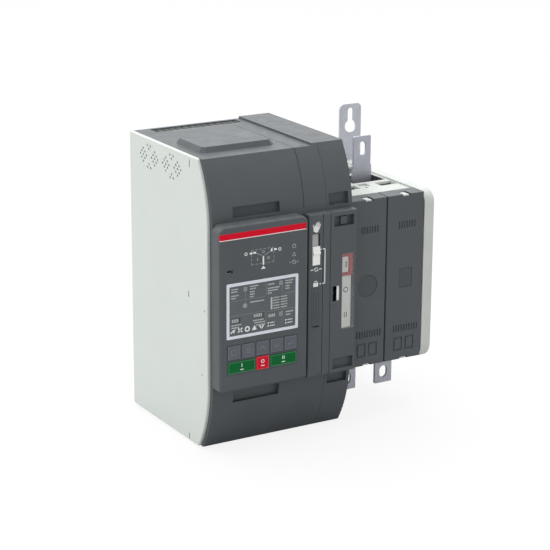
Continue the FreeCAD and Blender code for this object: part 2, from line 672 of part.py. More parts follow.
def indicator_rack():
    """Upright rack driven by the gear on the main shaft."""
    pitch_line = SHAFT_Y - GEAR_MODULE * GEAR_TEETH / 2
    pitch = math.pi * GEAR_MODULE
    back = box(GEAR_X0 + 0.1, GEAR_X1 - 0.15, pitch_line - 5, pitch_line - 1.3 * GEAR_MODULE, -12, 62)
    parts = [back]
    slope = math.tan(PRESSURE)
    half = pitch / 4 - BACKLASH / 2
    for index in range(-3, 13):
        middle = (index + 0.5) * pitch
        if middle < -10.5 or middle > 60.5:
            continue
        root_half = half + slope * 1.4 * GEAR_MODULE
        tip_half = half - slope * 0.92 * GEAR_MODULE
        root_y = pitch_line - 1.4 * GEAR_MODULE
        tip_y = pitch_line + 0.92 * GEAR_MODULE
        parts.append(profile_x([(root_y, middle - root_half), (tip_y, middle - tip_half),
                                (tip_y, middle + tip_half), (root_y, middle + root_half)],
                               GEAR_X0 + 0.1, GEAR_X1 - 0.15))
    return fuse(parts)


def handle_shutter():
    """White shutter over one side of the handle opening; it slides clear in hand mode."""
    y0 = MODULE_FRONT + 1.2
    return box(SLOT_X1 - SHUTTER_TRAVEL, SLOT_X1 + 0.1, y0, y0 + 1.2, SLOT_Z0 - 0.2, SLOT_Z1 + 0.2)


# ---- drive --------------------------------------------------------------------
PLATES = {'bearing_plate_left': (-66.0, -64.0), 'bearing_plate_centre': (-6.6, -4.6),
          'bearing_plate_right': (17.9, 19.2)}
BUSH_R = 9.0


def bearing_plate(name):
    x0, x1 = PLATES[name]
    if name == 'bearing_plate_left':
        plate = box(x0, x1, -110, -20, -106, 106)
        foot = box(x0, x0 + 14, -22, -20, -106, 106)
        plate = plate.fuse(foot)
    elif name == 'bearing_plate_centre':
        plate = box(x0, x1, -150, -20, -106, 106)
        foot = box(x1 - 14, x1, -22, -20, -106, 106)
        plate = plate.fuse(foot).cut(cyl_x(x0 - 1, x1 + 1, LEVER_Y, 0, 3 + RUN_CLEAR))
    else:
        plate = box(x0, x1, -140, -4, -78, 78)
    plate = plate.cut(cyl_x(x0 - 1, x1 + 1, SHAFT_Y, 0, BUSH_R))
    if name == 'bearing_plate_right':
        for y, z in TIE_SPOTS:
            plate = plate.cut(cyl_x(x0 - 1, x1 + 1, y, z, TIE_R + 0.1))
    return plate.removeSplitter()


def shaft_bushes():
    """Plain bushes with a collar, one in each bearing plate and one in the end plate."""
    bushes = []
    spans = [PLATES['bearing_plate_left'], PLATES['bearing_plate_centre'], PLATES['bearing_plate_right'],
             (END_X0, END_X0 + 5)]
    for x0, x1 in spans:
        bush = cyl_x(x0, x1, SHAFT_Y, 0, BUSH_R)
        if x1 < 15:
            bush = bush.fuse(cyl_x(x1, x1 + 1.1, SHAFT_Y, 0, BUSH_R + 1.5))
        bushes.append(bush.cut(cyl_x(x0 - 1, x1 + 3, SHAFT_Y, 0, SHAFT_R + RUN_CLEAR)))
    return bushes


def main_shaft():
    shaft = cyl_x(-70, 116, SHAFT_Y, 0, SHAFT_R)
    groove = cyl_x(-69, -68, SHAFT_Y, 0, SHAFT_R + 1).cut(cyl_x(-69, -68, SHAFT_Y, 0, SHAFT_R - 0.8))
    return shaft.cut(groove)


def crank():
    """Arm on the shaft with a through pin; it points 40 degrees below the rear at rest."""
    half = 4.0
    hub = cyl_x(CRANK_X - half - 2, CRANK_X + half + 2, SHAFT_Y, 0, 9)
    arm = box(CRANK_X - half, CRANK_X + half, SHAFT_Y, SHAFT_Y + CRANK_R, -5.5, 5.5)
    tip = cyl_x(CRANK_X - half, CRANK_X + half, SHAFT_Y + CRANK_R, 0, 5.5)
    pin = cyl_x(CRANK_X - 10.5, CRANK_X + 10.5, SHAFT_Y + CRANK_R, 0, 3)
    arm = fuse([hub, arm, tip, pin]).cut(cyl_x(CRANK_X - 20, CRANK_X + 20, SHAFT_Y, 0, SHAFT_R))
    return turned(arm, SHAFT_Y, 0, -HALF_SWING)


PIN_Z = -CRANK_R * math.sin(math.radians(HALF_SWING))
LINK_REACH = 16.0
LINK_CAP = 6.0


def plunger_link():
    """Two slotted cheeks and two cross blocks tie both plungers to the crank pin."""
    y0 = PLUNGER_Y - 7.5
    y1 = PLUNGER_Y + 10.5
    parts = []
    for x0 in (CRANK_X - 9.5, CRANK_X + 6.5):
        parts.append(box(x0, x0 + 3, y0, y1, PIN_Z - LINK_REACH, PIN_Z + LINK_REACH))
    for low in (PIN_Z - LINK_REACH - LINK_CAP, PIN_Z + LINK_REACH):
        parts.append(box(CRANK_X - 9.5, CRANK_X + 9.5, y0, y1, low, low + LINK_CAP))
    slot = box(CRANK_X - 20, CRANK_X + 20, PLUNGER_Y - 6.4, PLUNGER_Y + 6.4, PIN_Z - 3.7, PIN_Z + 3.7)
    return fuse(parts).cut(slot)


PLUNGER_LENGTH = 62.0
YOKE_Z0 = 38.0
YOKE_Z1 = 102.0


def plungers():
    top = PIN_Z + LINK_REACH + LINK_CAP
    low = PIN_Z - LINK_REACH - LINK_CAP
    rods = []
    for z0, z1 in ((top, top + PLUNGER_LENGTH), (low - PLUNGER_LENGTH, low)):
        rods.append(cyl_z(z0, z1, CRANK_X, PLUNGER_Y, PLUNGER_R))
    return rods


def solenoid_yokes():
    half = 24.0
    frame = box(CRANK_X - half, CRANK_X + half, PLUNGER_Y - 24, PLUNGER_Y + 24, YOKE_Z0, YOKE_Z1)
    frame = frame.cut(box(CRANK_X - half + 4, CRANK_X + half - 4, PLUNGER_Y - 30, PLUNGER_Y + 30,
                          YOKE_Z0 + 4, YOKE_Z1 - 4))
    frame = frame.cut(cyl_z(YOKE_Z0 - 1, YOKE_Z1 + 1, CRANK_X, PLUNGER_Y, PLUNGER_R + 0.8))
    return both_ends(frame)


def solenoid_bobbins():
    """Plastic spool whose bore guides the plunger."""
    z0 = YOKE_Z0 + 4.1
    z1 = YOKE_Z1 - 4.1
    spool = cyl_z(z0, z1, CRANK_X, PLUNGER_Y, PLUNGER_R + 2)
    flanges = [cyl_z(z0, z0 + 2, CRANK_X, PLUNGER_Y, 19), cyl_z(z1 - 2, z1, CRANK_X, PLUNGER_Y, 19)]
    spool = fuse([spool] + flanges)
    return both_ends(spool.cut(cyl_z(z0 - 1, z1 + 1, CRANK_X, PLUNGER_Y, PLUNGER_R + RUN_CLEAR)))


def solenoid_windings():
    z0 = YOKE_Z0 + 6.15
    z1 = YOKE_Z1 - 6.15
    coil = cyl_z(z0, z1, CRANK_X, PLUNGER_Y, 17.5).cut(cyl_z(z0, z1, CRANK_X, PLUNGER_Y, PLUNGER_R + 2))
    return both_ends(coil)


def indicator_gear():
    """Sector gear on the shaft that lifts and lowers the pointer rack."""
    root_r = GEAR_MODULE * (GEAR_TEETH / 2 - 1.3)
    step = 360.0 / GEAR_TEETH
    first = 180 - 12 * step
    last = 180 + 1 * step
    parts = [sector(root_r, first - step / 2, last + step / 2, GEAR_X0, GEAR_X1, SHAFT_Y, 0)]
    for index in range(14):
        angle = math.radians(first + index * step)
        parts.append(tooth(GEAR_TEETH, GEAR_MODULE, angle, GEAR_X0, GEAR_X1, SHAFT_Y, 0))
    parts.append(cyl_x(GEAR_X0 - 4, GEAR_X1, SHAFT_Y, 0, 11))
    return fuse(parts).cut(cyl_x(0, 20, SHAFT_Y, 0, SHAFT_R))


def drive_pinion():
    root_r = PINION_MODULE * (PINION_TEETH / 2 - 1.3)
    parts = [cyl_x(PINION_X0, PINION_X1, SHAFT_Y, 0, root_r)]
    for index in range(PINION_TEETH):
        angle = math.pi + index * 2 * math.pi / PINION_TEETH
        parts.append(tooth(PINION_TEETH, PINION_MODULE, angle, PINION_X0, PINION_X1, SHAFT_Y, 0))
    parts.append(cyl_x(PINION_X1, PINION_X1 + 3, SHAFT_Y, 0, 9))
    return fuse(parts).cut(cyl_x(-10, 10, SHAFT_Y, 0, SHAFT_R))


def manual_lever():
    """Rocking socket for the emergency handle, geared to the shaft through a toothed sector."""
    root_r = PINION_MODULE * (LEVER_TEETH / 2 - 1.3)
    step = 360.0 / LEVER_TEETH
    count = 12
    first = -3.5 * step
    last = first + (count - 0.5) * step
    parts = [sector(root_r, first - step / 2, last, PINION_X0, PINION_X1, LEVER_Y, 0)]
    for index in range(count):
        angle = math.radians(first + index * step)
        parts.append(tooth(LEVER_TEETH, PINION_MODULE, angle, PINION_X0, PINION_X1, LEVER_Y, 0))
    hub = cyl_x(PINION_X0, PINION_X1 + 0.8, LEVER_Y, 0, 7)
    stub = cyl_x(PLATES['bearing_plate_centre'][0], PINION_X0, LEVER_Y, 0, 3)
    mouth = box(PINION_X0 - 0.8, PINION_X1 + 0.8, LEVER_Y - 23, LEVER_Y, -4.4, 4.4)
    socket = box(PINION_X0 + 0.2, PINION_X1 - 0.2, LEVER_Y - 24, LEVER_Y - 9, -3.2, 3.2)
    mouth = turned(mouth.cut(socket), LEVER_Y, 0, LEVER_TILT)
    return fuse(parts + [hub, stub, mouth])


def auxiliary_switches():
    """Two snap-action switches beside the shaft that report the position."""
    switches = []
    for sign in (-1, 1):
        body = box(-4.6, 5.4, -58, -38, sign * 34 - 8, sign * 34 + 8)
        button = box(-1, 2, -60, -58, sign * 34 - 2, sign * 34 + 2)
        legs = [box(-0.4, 0.4, -38, -32, sign * 34 + dz - 1.4, sign * 34 + dz + 1.4) for dz in (-5, 0, 5)]
        switches.append(fuse([body, button] + legs))
    return switches


# ---- electronics --------------------------------------------------------------
def control_board():
    board = box(-126, -70, -148, -146.4, -100, 100)
    parts = [board]
    for index in range(5):
        z = -88 + index * 24
        parts.append(box(-122, -104, -146.4, -131, z, z + 16))
    parts.append(box(-98, -84, -146.4, -144.4, 10, 24))
    parts.append(box(-96, -82, -146.4, -144.6, -40, -26))
    parts.append(box(-80, -73, -146.4, -138, 50, 90))
    return fuse(parts)


def power_board():
    board = box(-126, -70, -100, -98.4, -100, 100)
    transformer = box(-122, -86, -98.4, -64, -30, 6)
    parts = [board, transformer]
    for index in range(3):
        parts.append(cyl_y(-98.4, -72, -112 + index * 17, 24, 7.5))
    parts.append(box(-122, -78, -98.4, -84, 40, 52))
    for index in range(4):
        parts.append(box(-120 + index * 12, -111 + index * 12, -98.4, -80, -64, -44))
    return fuse(parts)


def connector_blocks():
    """Plug-in terminal strip seen through the opening at the rear of the top."""
    top = HALF_HEIGHT - 0.8
    strip = box(-113.5, -19.5, -18.5, -6.5, 116, top)
    tools = []
    for index in range(13):
        x = -109.5 + index * 7.2
        tools.append(cyl_z(top - 8, top + 1, x, -9.6, 1.9))
        tools.append(box(x - 2.2, x + 2.2, -17.3, -13.2, top - 10, top + 1))
        tools.append(box(x - 4.1, x - 3.1, -19, -6, top - 2, top + 1))
    board = box(-113.5, -19.5, -18.5, -6.5, 114.4, 116)
    return fuse([cut(strip, tools), board])


# ---- poles --------------------------------------------------------------------
def pole_left(index):
    return POLE_X0 + index * POLE_PITCH


def pole_housing(index):
    """Tray open towards +X; the next module closes it."""
    x0 = pole_left(index)
    x1 = x0 + POLE_PITCH - POLE_GAP
    centre = x0 + LUG_OFFSET
    shell = box(x0, x1, POLE_FRONT, -REAR_T, -POLE_HALF, POLE_TOP)
    shell = shell.cut(box(x0 + WALL, x1 + 1, POLE_FRONT + WALL, -REAR_T - WALL,
                          -POLE_HALF + WALL, POLE_TOP - WALL))
    well = box(x0 + WALL, x1, -92, -58, 60, POLE_TOP)
    shell = shell.fuse(well)
    chute = box(x0 + WALL, x1, POLE_FRONT + 1, -98, 66, POLE_TOP - 1)
    shell = shell.fuse(chute)
    tools = [
        box(x0 + WALL, x1 - WALL, -90, -60, 63, POLE_TOP + 1),
        box(centre - 11.2, centre + 11.2, -76.45, -73.55, 50, 70),
        box(x0 + 5, x1 - 4, -54, -8, 70, POLE_TOP + 1),
        box(centre + 1, centre + 20.4, -110, -97, POLE_TOP - 3.5, POLE_TOP + 1),
        box(centre - 19, centre - 8, -104.5, -95, POLE_TOP - 1.8, POLE_TOP + 1),
        box(centre - 19, centre - 14, -111, -104.5, POLE_TOP - 1.8, POLE_TOP + 1),
        cyl_x(x0 - 1, x0 + WALL + 1, SHAFT_Y, 0, ROTOR_R + 1),
    ]
    for side in (-1, 1):
        y = SHAFT_Y + side * SOURCE_SPREAD
        tools.append(box(centre - 10.2, centre + 10.2, y - 1.45, y + 1.45, -90, -70))
    for y, z in TIE_SPOTS:
        tools.append(cyl_x(x0 - 1, x1 + 1, y, z, TIE_R + 0.1))
    for row in range(5):
        tools.append(box(x0 + 8, x1 - 6, -4 - WALL, 1, 30 + row * 8, 33 + row * 8))
    shell = cut(shell, tools)
    return fuse([shell] + cover_latches(x0))


def cover_latches(x0):
    """Spring arms above and below, each with a hook that shows in a notch of the cover."""
    arm = box(x0 + 18, x0 + 24.4, COVER_FRONT + 2.6, POLE_FRONT + 1, 78.4, 81.7)
    hook = box(x0 + 18, x0 + 24.4, COVER_FRONT + 2.6, COVER_FRONT + 9.6, 81, 83.4)
    tip = box(x0 + 18, x0 + 24.4, COVER_FRONT + 0.4, COVER_FRONT + 3, 82, 83.4)
    return both_ends(fuse([arm, hook, tip]))


def frame_xz(x0, x1, z0, z1, width, y0, y1, r):
    """A flat rectangular ring facing the front."""
    outer = round_box_y(x0, x1, y0, y1, z0, z1, r)
    return outer.cut(round_box_y(x0 + width, x1 - width, y0 - 1, y1 + 1, z0 + width, z1 - width, r * 0.5))


def pole_cover(index):
    """Snap-on front cover with a notch for each latch and simple marks pressed into the front."""
    x0 = pole_left(index)
    x1 = x0 + POLE_PITCH - COVER_SEAM
    outer = box(x0, x1, COVER_FRONT, POLE_FRONT - 0.1, -POLE_HALF, POLE_HALF)
    outer = outer.makeFillet(1.0, front_edges(outer, COVER_FRONT))
    inner = box(x0 + 2, x1 - 2, COVER_FRONT + 2.2, POLE_FRONT + 1, -POLE_HALF + 2, POLE_HALF - 2)
    notch = box(x0 + 17.5, x0 + 26.5, COVER_FRONT - 1, COVER_FRONT + 10, 81.8, POLE_HALF + 1)
    return cut(outer, [inner] + both_ends(notch) + cover_marks(index, x0))


def cover_marks(index, x0):
    """Shallow round or square pocket, two rows of upright grooves, and a pair of frames."""
    y0 = COVER_FRONT - 1
    if index == 0:
        marks = [cyl_y(y0, COVER_FRONT + 0.5, x0 + 21.3, -2.4, 11.0)]
    else:
        marks = [box(x0 + 14.7, x0 + 29.8, y0, COVER_FRONT + 0.5, -10, 9.5)]
    y1 = COVER_FRONT + 0.9
    for left, count, low in ((13.0, 7, 50.4), (9.0, 10, -55.0)):
        for column in range(count):
            x = x0 + left + column * 3.0
            marks.append(box(x, x + 1.5, y0, y1, low, low + 6.8))
    for left in (9.5, 23.0):
        marks.append(frame_xz(x0 + left, x0 + left + 10.6, -74.6, -60.5, 1.8, y0, y1, 1))
    return marks


def end_plate():
    """Closing plate with a bearing pocket; all four corners of its side are rounded."""
    z0 = -89.0
    z1 = 83.5
    y0 = -156.0
    y1 = -REAR_T
    plate = box(END_X0, END_X1, y0, y1, z0, z1)
    for r, corner_y, corner_z in ((15.5, y0, z0), (12.0, y0, z1), (4.0, y1, z0), (4.0, y1, z1)):
        edges = [e for e in plate.Edges if e.BoundBox.XLength > 5 and abs(e.BoundBox.YMin - corner_y) < 0.1
                 and abs(e.BoundBox.ZMin - corner_z) < 0.1]
        plate = plate.makeFillet(r, edges)
    rim = [e for e in plate.Edges if e.BoundBox.XLength < 1e-4 and abs(e.BoundBox.XMin - END_X1) < 1e-4]
    plate = plate.makeFillet(1.5, rim)
    hollow = [
        box(END_X0 - 1, END_X1 - 4, -52, -10, 8, 60),
        box(END_X0 - 1, END_X1 - 4, -52, -10, -60, -8),
        box(END_X0 - 1, END_X1 - 4, -120, -96, 8, 60),
        box(END_X0 - 1, END_X1 - 4, -120, -96, -60, -8),
        cyl_x(END_X0 - 1, END_X0 + 5, SHAFT_Y, 0, BUSH_R),
        cyl_x(END_X0 - 1, END_X1 - 3, SHAFT_Y, 0, SHAFT_R + 1),
    ]
    for y, z in TIE_SPOTS:
        hollow.append(cyl_x(END_X0 - 1, END_X1 + 1, y, z, TIE_R + 0.1))
        hollow.append(cyl_x(END_X1 - 3, END_X1 + 1, y, z, 4.2))
    for x, z in BRACKET_SCREWS:
        hollow.append(cyl_y(-14, 0, x, z, 2.0))
    return cut(plate, hollow)


def mounting_bracket():
    """Flat strip behind the end plate with a keyhole above and a round hole below."""
    centre = FIX_X
    strip = round_box_y(centre - BRACKET_WIDTH / 2, centre + BRACKET_WIDTH / 2, -REAR_T, 0,
                        -BRACKET_HALF, BRACKET_HALF, 5)
    tools = keyhole(centre, FIX_Z, -REAR_T - 1, 1, 1)
    tools.append(cyl_y(-REAR_T - 1, 1, centre, -FIX_Z, FIX_HOLE_R))
    for x, z in BRACKET_SCREWS:
        tools.append(cyl_y(-REAR_T - 1, 1, x, z, 2.1))
        tools.append(cone_y(-1.6, 0, x, z, 2.1, 3.7))
    return cut(strip, tools)


def tie_rods():
    rods = []
    for y, z in TIE_SPOTS:
        rod = cyl_x(15.0, END_X1 - 3, y, z, TIE_R)
        head = cyl_x(END_X1 - 3, END_X1 - 0.4, y, z, 3.9).cut(cyl_x(END_X1 - 1.8, END_X1, y, z, 1.8))
        nut = cyl_x(15.5, 17.9, y, z, 3.4).cut(cyl_x(15.5, 17.9, y, z, TIE_R))
        rods.append(fuse([rod, head, nut]))
    return rods


def slotted_lug(centre, y, z_far, z_near, slot_z, slot_half, r):
    """Flat copper bar along Z with a vertical bolt slot of radius r near its far end."""
    low = min(z_far, z_near)
    high = max(z_far, z_near)
    bar = box(centre - LUG_W / 2, centre + LUG_W / 2, y - LUG_T / 2, y + LUG_T / 2, low, high)
    slot = [box(centre - r, centre + r, y - 3, y + 3, slot_z - slot_half + r, slot_z + slot_half - r),
            cyl_y(y - 3, y + 3, centre, slot_z - slot_half + r, r),
            cyl_y(y - 3, y + 3, centre, slot_z + slot_half - r, r)]
    corners = [e for e in bar.Edges if e.BoundBox.YLength > 1 and abs(e.BoundBox.ZMin - z_far) < 0.1]
    return cut(bar.makeFillet(1.0, corners), slot)


def jaws(centre):
    """Two contact fingers, one on each side of the blade, as (x0, x1) spans."""
    inner = BLADE_T / 2 + JAW_GAP
    return ((centre - inner - JAW_T, centre - inner), (centre + inner, centre + inner + JAW_T))


def load_terminals():
    lugs = []
    for index in range(POLE_COUNT):
        centre = pole_left(index) + LUG_OFFSET
        bar = slotted_lug(centre, SHAFT_Y, LOAD_TOP, 26, 113.0, 6.9, LOAD_SLOT_R)
        half = LUG_W / 2 + 1
        shoulder = box(centre - half, centre + half, SHAFT_Y - LUG_T / 2, SHAFT_Y + LUG_T / 2, 26, 96)
        bridge = box(centre - 5.1, centre + 5.1, SHAFT_Y - 8, SHAFT_Y + 8, 20, 30)
        fingers = [box(x0, x1, SHAFT_Y - 8, SHAFT_Y + 8, ROTOR_R + 1.6, 24) for x0, x1 in jaws(centre)]
        lugs.append(fuse([bar, shoulder, bridge] + fingers))
    return lugs


def source_terminal(centre):
    """Front source bar with the jaw that meets the blade in position I."""
    y = SHAFT_Y - SOURCE_SPREAD
    bar = slotted_lug(centre, y, SOURCE_LOW, -38, -108.0, 6.2, SOURCE_SLOT_R)
    parts = [bar, box(centre - 5.1, centre + 5.1, y, y + 8, -56, -42)]
    fingers = [box(x0, x1, SHAFT_Y - 8, SHAFT_Y + 8, -60, -44) for x0, x1 in jaws(centre)]
    back = box(centre - 5.1, centre + 5.1, SHAFT_Y - 8, SHAFT_Y + 8, -64, -58)
    parts += [turned(piece, SHAFT_Y, 0, -HALF_SWING) for piece in fingers + [back]]
    return fuse(parts)


def source_terminals(row):
    lugs = []
    for index in range(POLE_COUNT):
        lug = source_terminal(pole_left(index) + LUG_OFFSET)
        if row == 2:
            lug = lug.mirror(V(0, SHAFT_Y, 0), V(0, 1, 0))
        lugs.append(lug)
    return lugs


def contact_blades():
    """Copper knife blades; each points down and forward at rest."""
    blades = []
    for index in range(POLE_COUNT):
        centre = pole_left(index) + LUG_OFFSET
        x0 = centre - BLADE_T / 2
        x1 = centre + BLADE_T / 2
        disc = cyl_x(x0, x1, SHAFT_Y, 0, HUB_R)
        arm = box(x0, x1, SHAFT_Y - BLADE_W / 2, SHAFT_Y + BLADE_W / 2, -BLADE_R, 0)
        tip = [e for e in arm.Edges if e.BoundBox.XLength > 1 and abs(e.BoundBox.ZMin + BLADE_R) < 0.1]
        arm = arm.makeFillet(2.0, tip)
        blade = disc.fuse(arm).cut(cyl_x(x0 - 1, x1 + 1, SHAFT_Y, 0, ROTOR_R))
        blades.append(turned(blade.removeSplitter(), SHAFT_Y, 0, -HALF_SWING))
    return blades


def rotor_hubs():
    """Insulating sleeves that carry the blades on the shaft."""
    sleeves = []
    for index in range(POLE_COUNT):
        x0 = pole_left(index) + 1.0
        x1 = x0 + POLE_PITCH - 2.0
        sleeves.append(cyl_x(x0, x1, SHAFT_Y, 0, ROTOR_R).cut(cyl_x(x0, x1, SHAFT_Y, 0, SHAFT_R)))
    return sleeves


def arc_plates():
    """Splitter plates the blade passes through on its way out of each source jaw."""
    plates = []
    for index in range(POLE_COUNT):
        x0 = pole_left(index) + WALL + 0.05
        x1 = x0 + 36
        centre = pole_left(index) + LUG_OFFSET
        plate = box(x0, x1, SHAFT_Y - 0.5, SHAFT_Y + 0.5, -62, -34)
        plate = plate.cut(box(centre - 4, centre + 4, SHAFT_Y - 1, SHAFT_Y + 1, -58, -30))
        for side in (-1, 1):
            for step in range(4):
                plates.append(turned(plate, SHAFT_Y, 0, side * (5 + step * 6.5)))
    return plates


# ---- write every node ---------------------------------------------------------
def nodes():
    result = {
        'side_plate': side_plate(), 'rear_plate': rear_plate(), 'control_cover': control_cover(),
        'mechanism_cover': mechanism_cover(), 'case_screws': case_screws(),
        'hmi_bezel': hmi_bezel(), 'hmi_back_cover': hmi_back_cover(), 'hmi_board': hmi_board(),
        'lcd_frame': lcd_frame(), 'lcd_panel': lcd_panel(), 'light_pipes': light_pipes(),
        'selector_column': selector_column(), 'selector_knob': selector_knob(), 'padlock_tab': padlock_tab(),
        'indicator_housing': indicator_housing(), 'indicator_scale': indicator_scale(),
        'indicator_window': indicator_window(), 'indicator_pointer': indicator_pointer(),
        'indicator_rack': indicator_rack(), 'handle_shutter': handle_shutter(),
        'shaft_bushes': shaft_bushes(), 'main_shaft': main_shaft(), 'crank': crank(),
        'plunger_link': plunger_link(), 'plungers': plungers(),
        'solenoid_yokes': solenoid_yokes(), 'solenoid_bobbins': solenoid_bobbins(),
        'solenoid_windings': solenoid_windings(), 'indicator_gear': indicator_gear(),
        'drive_pinion': drive_pinion(), 'manual_lever': manual_lever(),
        'auxiliary_switches': auxiliary_switches(), 'control_board': control_board(),
        'power_board': power_board(), 'connector_blocks': connector_blocks(), 'end_plate': end_plate(),
        'mounting_bracket': mounting_bracket(), 'tie_rods': tie_rods(),
        'load_terminals': load_terminals(), 'source_1_terminals': source_terminals(1),
        'source_2_terminals': source_terminals(2), 'contact_blades': contact_blades(),
        'rotor_hubs': rotor_hubs(), 'arc_plates': arc_plates(),
    }
    for name, frame in key_frames().items():
        result[name] = key(frame)
    for name in PLATES:
        result[name] = bearing_plate(name)
    for index in range(POLE_COUNT):
        result['pole_%d_housing' % (index + 1)] = pole_housing(index)
        result['pole_%d_cover' % (index + 1)] = pole_cover(index)
    return result


os.makedirs("parts", exist_ok=True)
for node, shape in nodes().items():
    if isinstance(shape, list):
        shape = Part.makeCompound(shape)
    shape.exportStep("parts/" + node + ".step")
    print(node, len(shape.Solids), shape.isValid())
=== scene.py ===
import json
import math
import random

import bmesh
import bpy
from mathutils import Matrix, Vector


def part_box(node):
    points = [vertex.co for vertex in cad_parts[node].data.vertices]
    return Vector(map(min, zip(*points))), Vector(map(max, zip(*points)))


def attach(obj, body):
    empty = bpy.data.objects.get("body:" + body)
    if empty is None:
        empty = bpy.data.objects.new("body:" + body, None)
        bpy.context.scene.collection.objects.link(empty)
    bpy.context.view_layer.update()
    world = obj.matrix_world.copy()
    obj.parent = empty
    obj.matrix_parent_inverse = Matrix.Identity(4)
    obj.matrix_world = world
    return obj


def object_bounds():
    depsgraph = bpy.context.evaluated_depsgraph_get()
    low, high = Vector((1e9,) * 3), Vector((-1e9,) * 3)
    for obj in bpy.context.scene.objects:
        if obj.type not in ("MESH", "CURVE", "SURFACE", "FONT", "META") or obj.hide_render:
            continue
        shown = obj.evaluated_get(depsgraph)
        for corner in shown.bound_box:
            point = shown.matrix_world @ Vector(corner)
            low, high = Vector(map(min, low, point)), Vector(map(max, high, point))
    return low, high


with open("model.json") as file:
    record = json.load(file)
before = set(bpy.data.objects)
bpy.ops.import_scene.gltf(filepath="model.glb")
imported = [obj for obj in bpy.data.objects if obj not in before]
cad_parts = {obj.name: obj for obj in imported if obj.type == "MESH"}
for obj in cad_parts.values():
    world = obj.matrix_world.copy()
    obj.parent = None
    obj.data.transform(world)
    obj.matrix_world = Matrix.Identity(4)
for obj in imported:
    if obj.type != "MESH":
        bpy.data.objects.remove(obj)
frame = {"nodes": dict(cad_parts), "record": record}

CAD_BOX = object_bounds()
MM = 0.001
NODES = frame["nodes"]


# ------------------------------------------------------------------ places read from the frame
class Span:
    """The box of one CAD node, or of several, in millimetres."""

    def __init__(self, *nodes):
        corners = [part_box(node) for node in nodes]
        low = [min(c[0][axis] for c in corners) / MM for axis in range(3)]
        high = [max(c[1][axis] for c in corners) / MM for axis in range(3)]
        self.x0, self.y0, self.z0 = low
        self.x1, self.y1, self.z1 = high
        self.xc, self.yc, self.zc = [(a + b) / 2 for a, b in zip(low, high)]


BEZEL = Span("hmi_bezel")
LCD = Span("lcd_frame")
COLUMN = Span("selector_column")
KNOB = Span("selector_knob")
TAB = Span("padlock_tab")
SCALE = Span("indicator_scale")
POINTER = Span("indicator_pointer")
END = Span("end_plate")


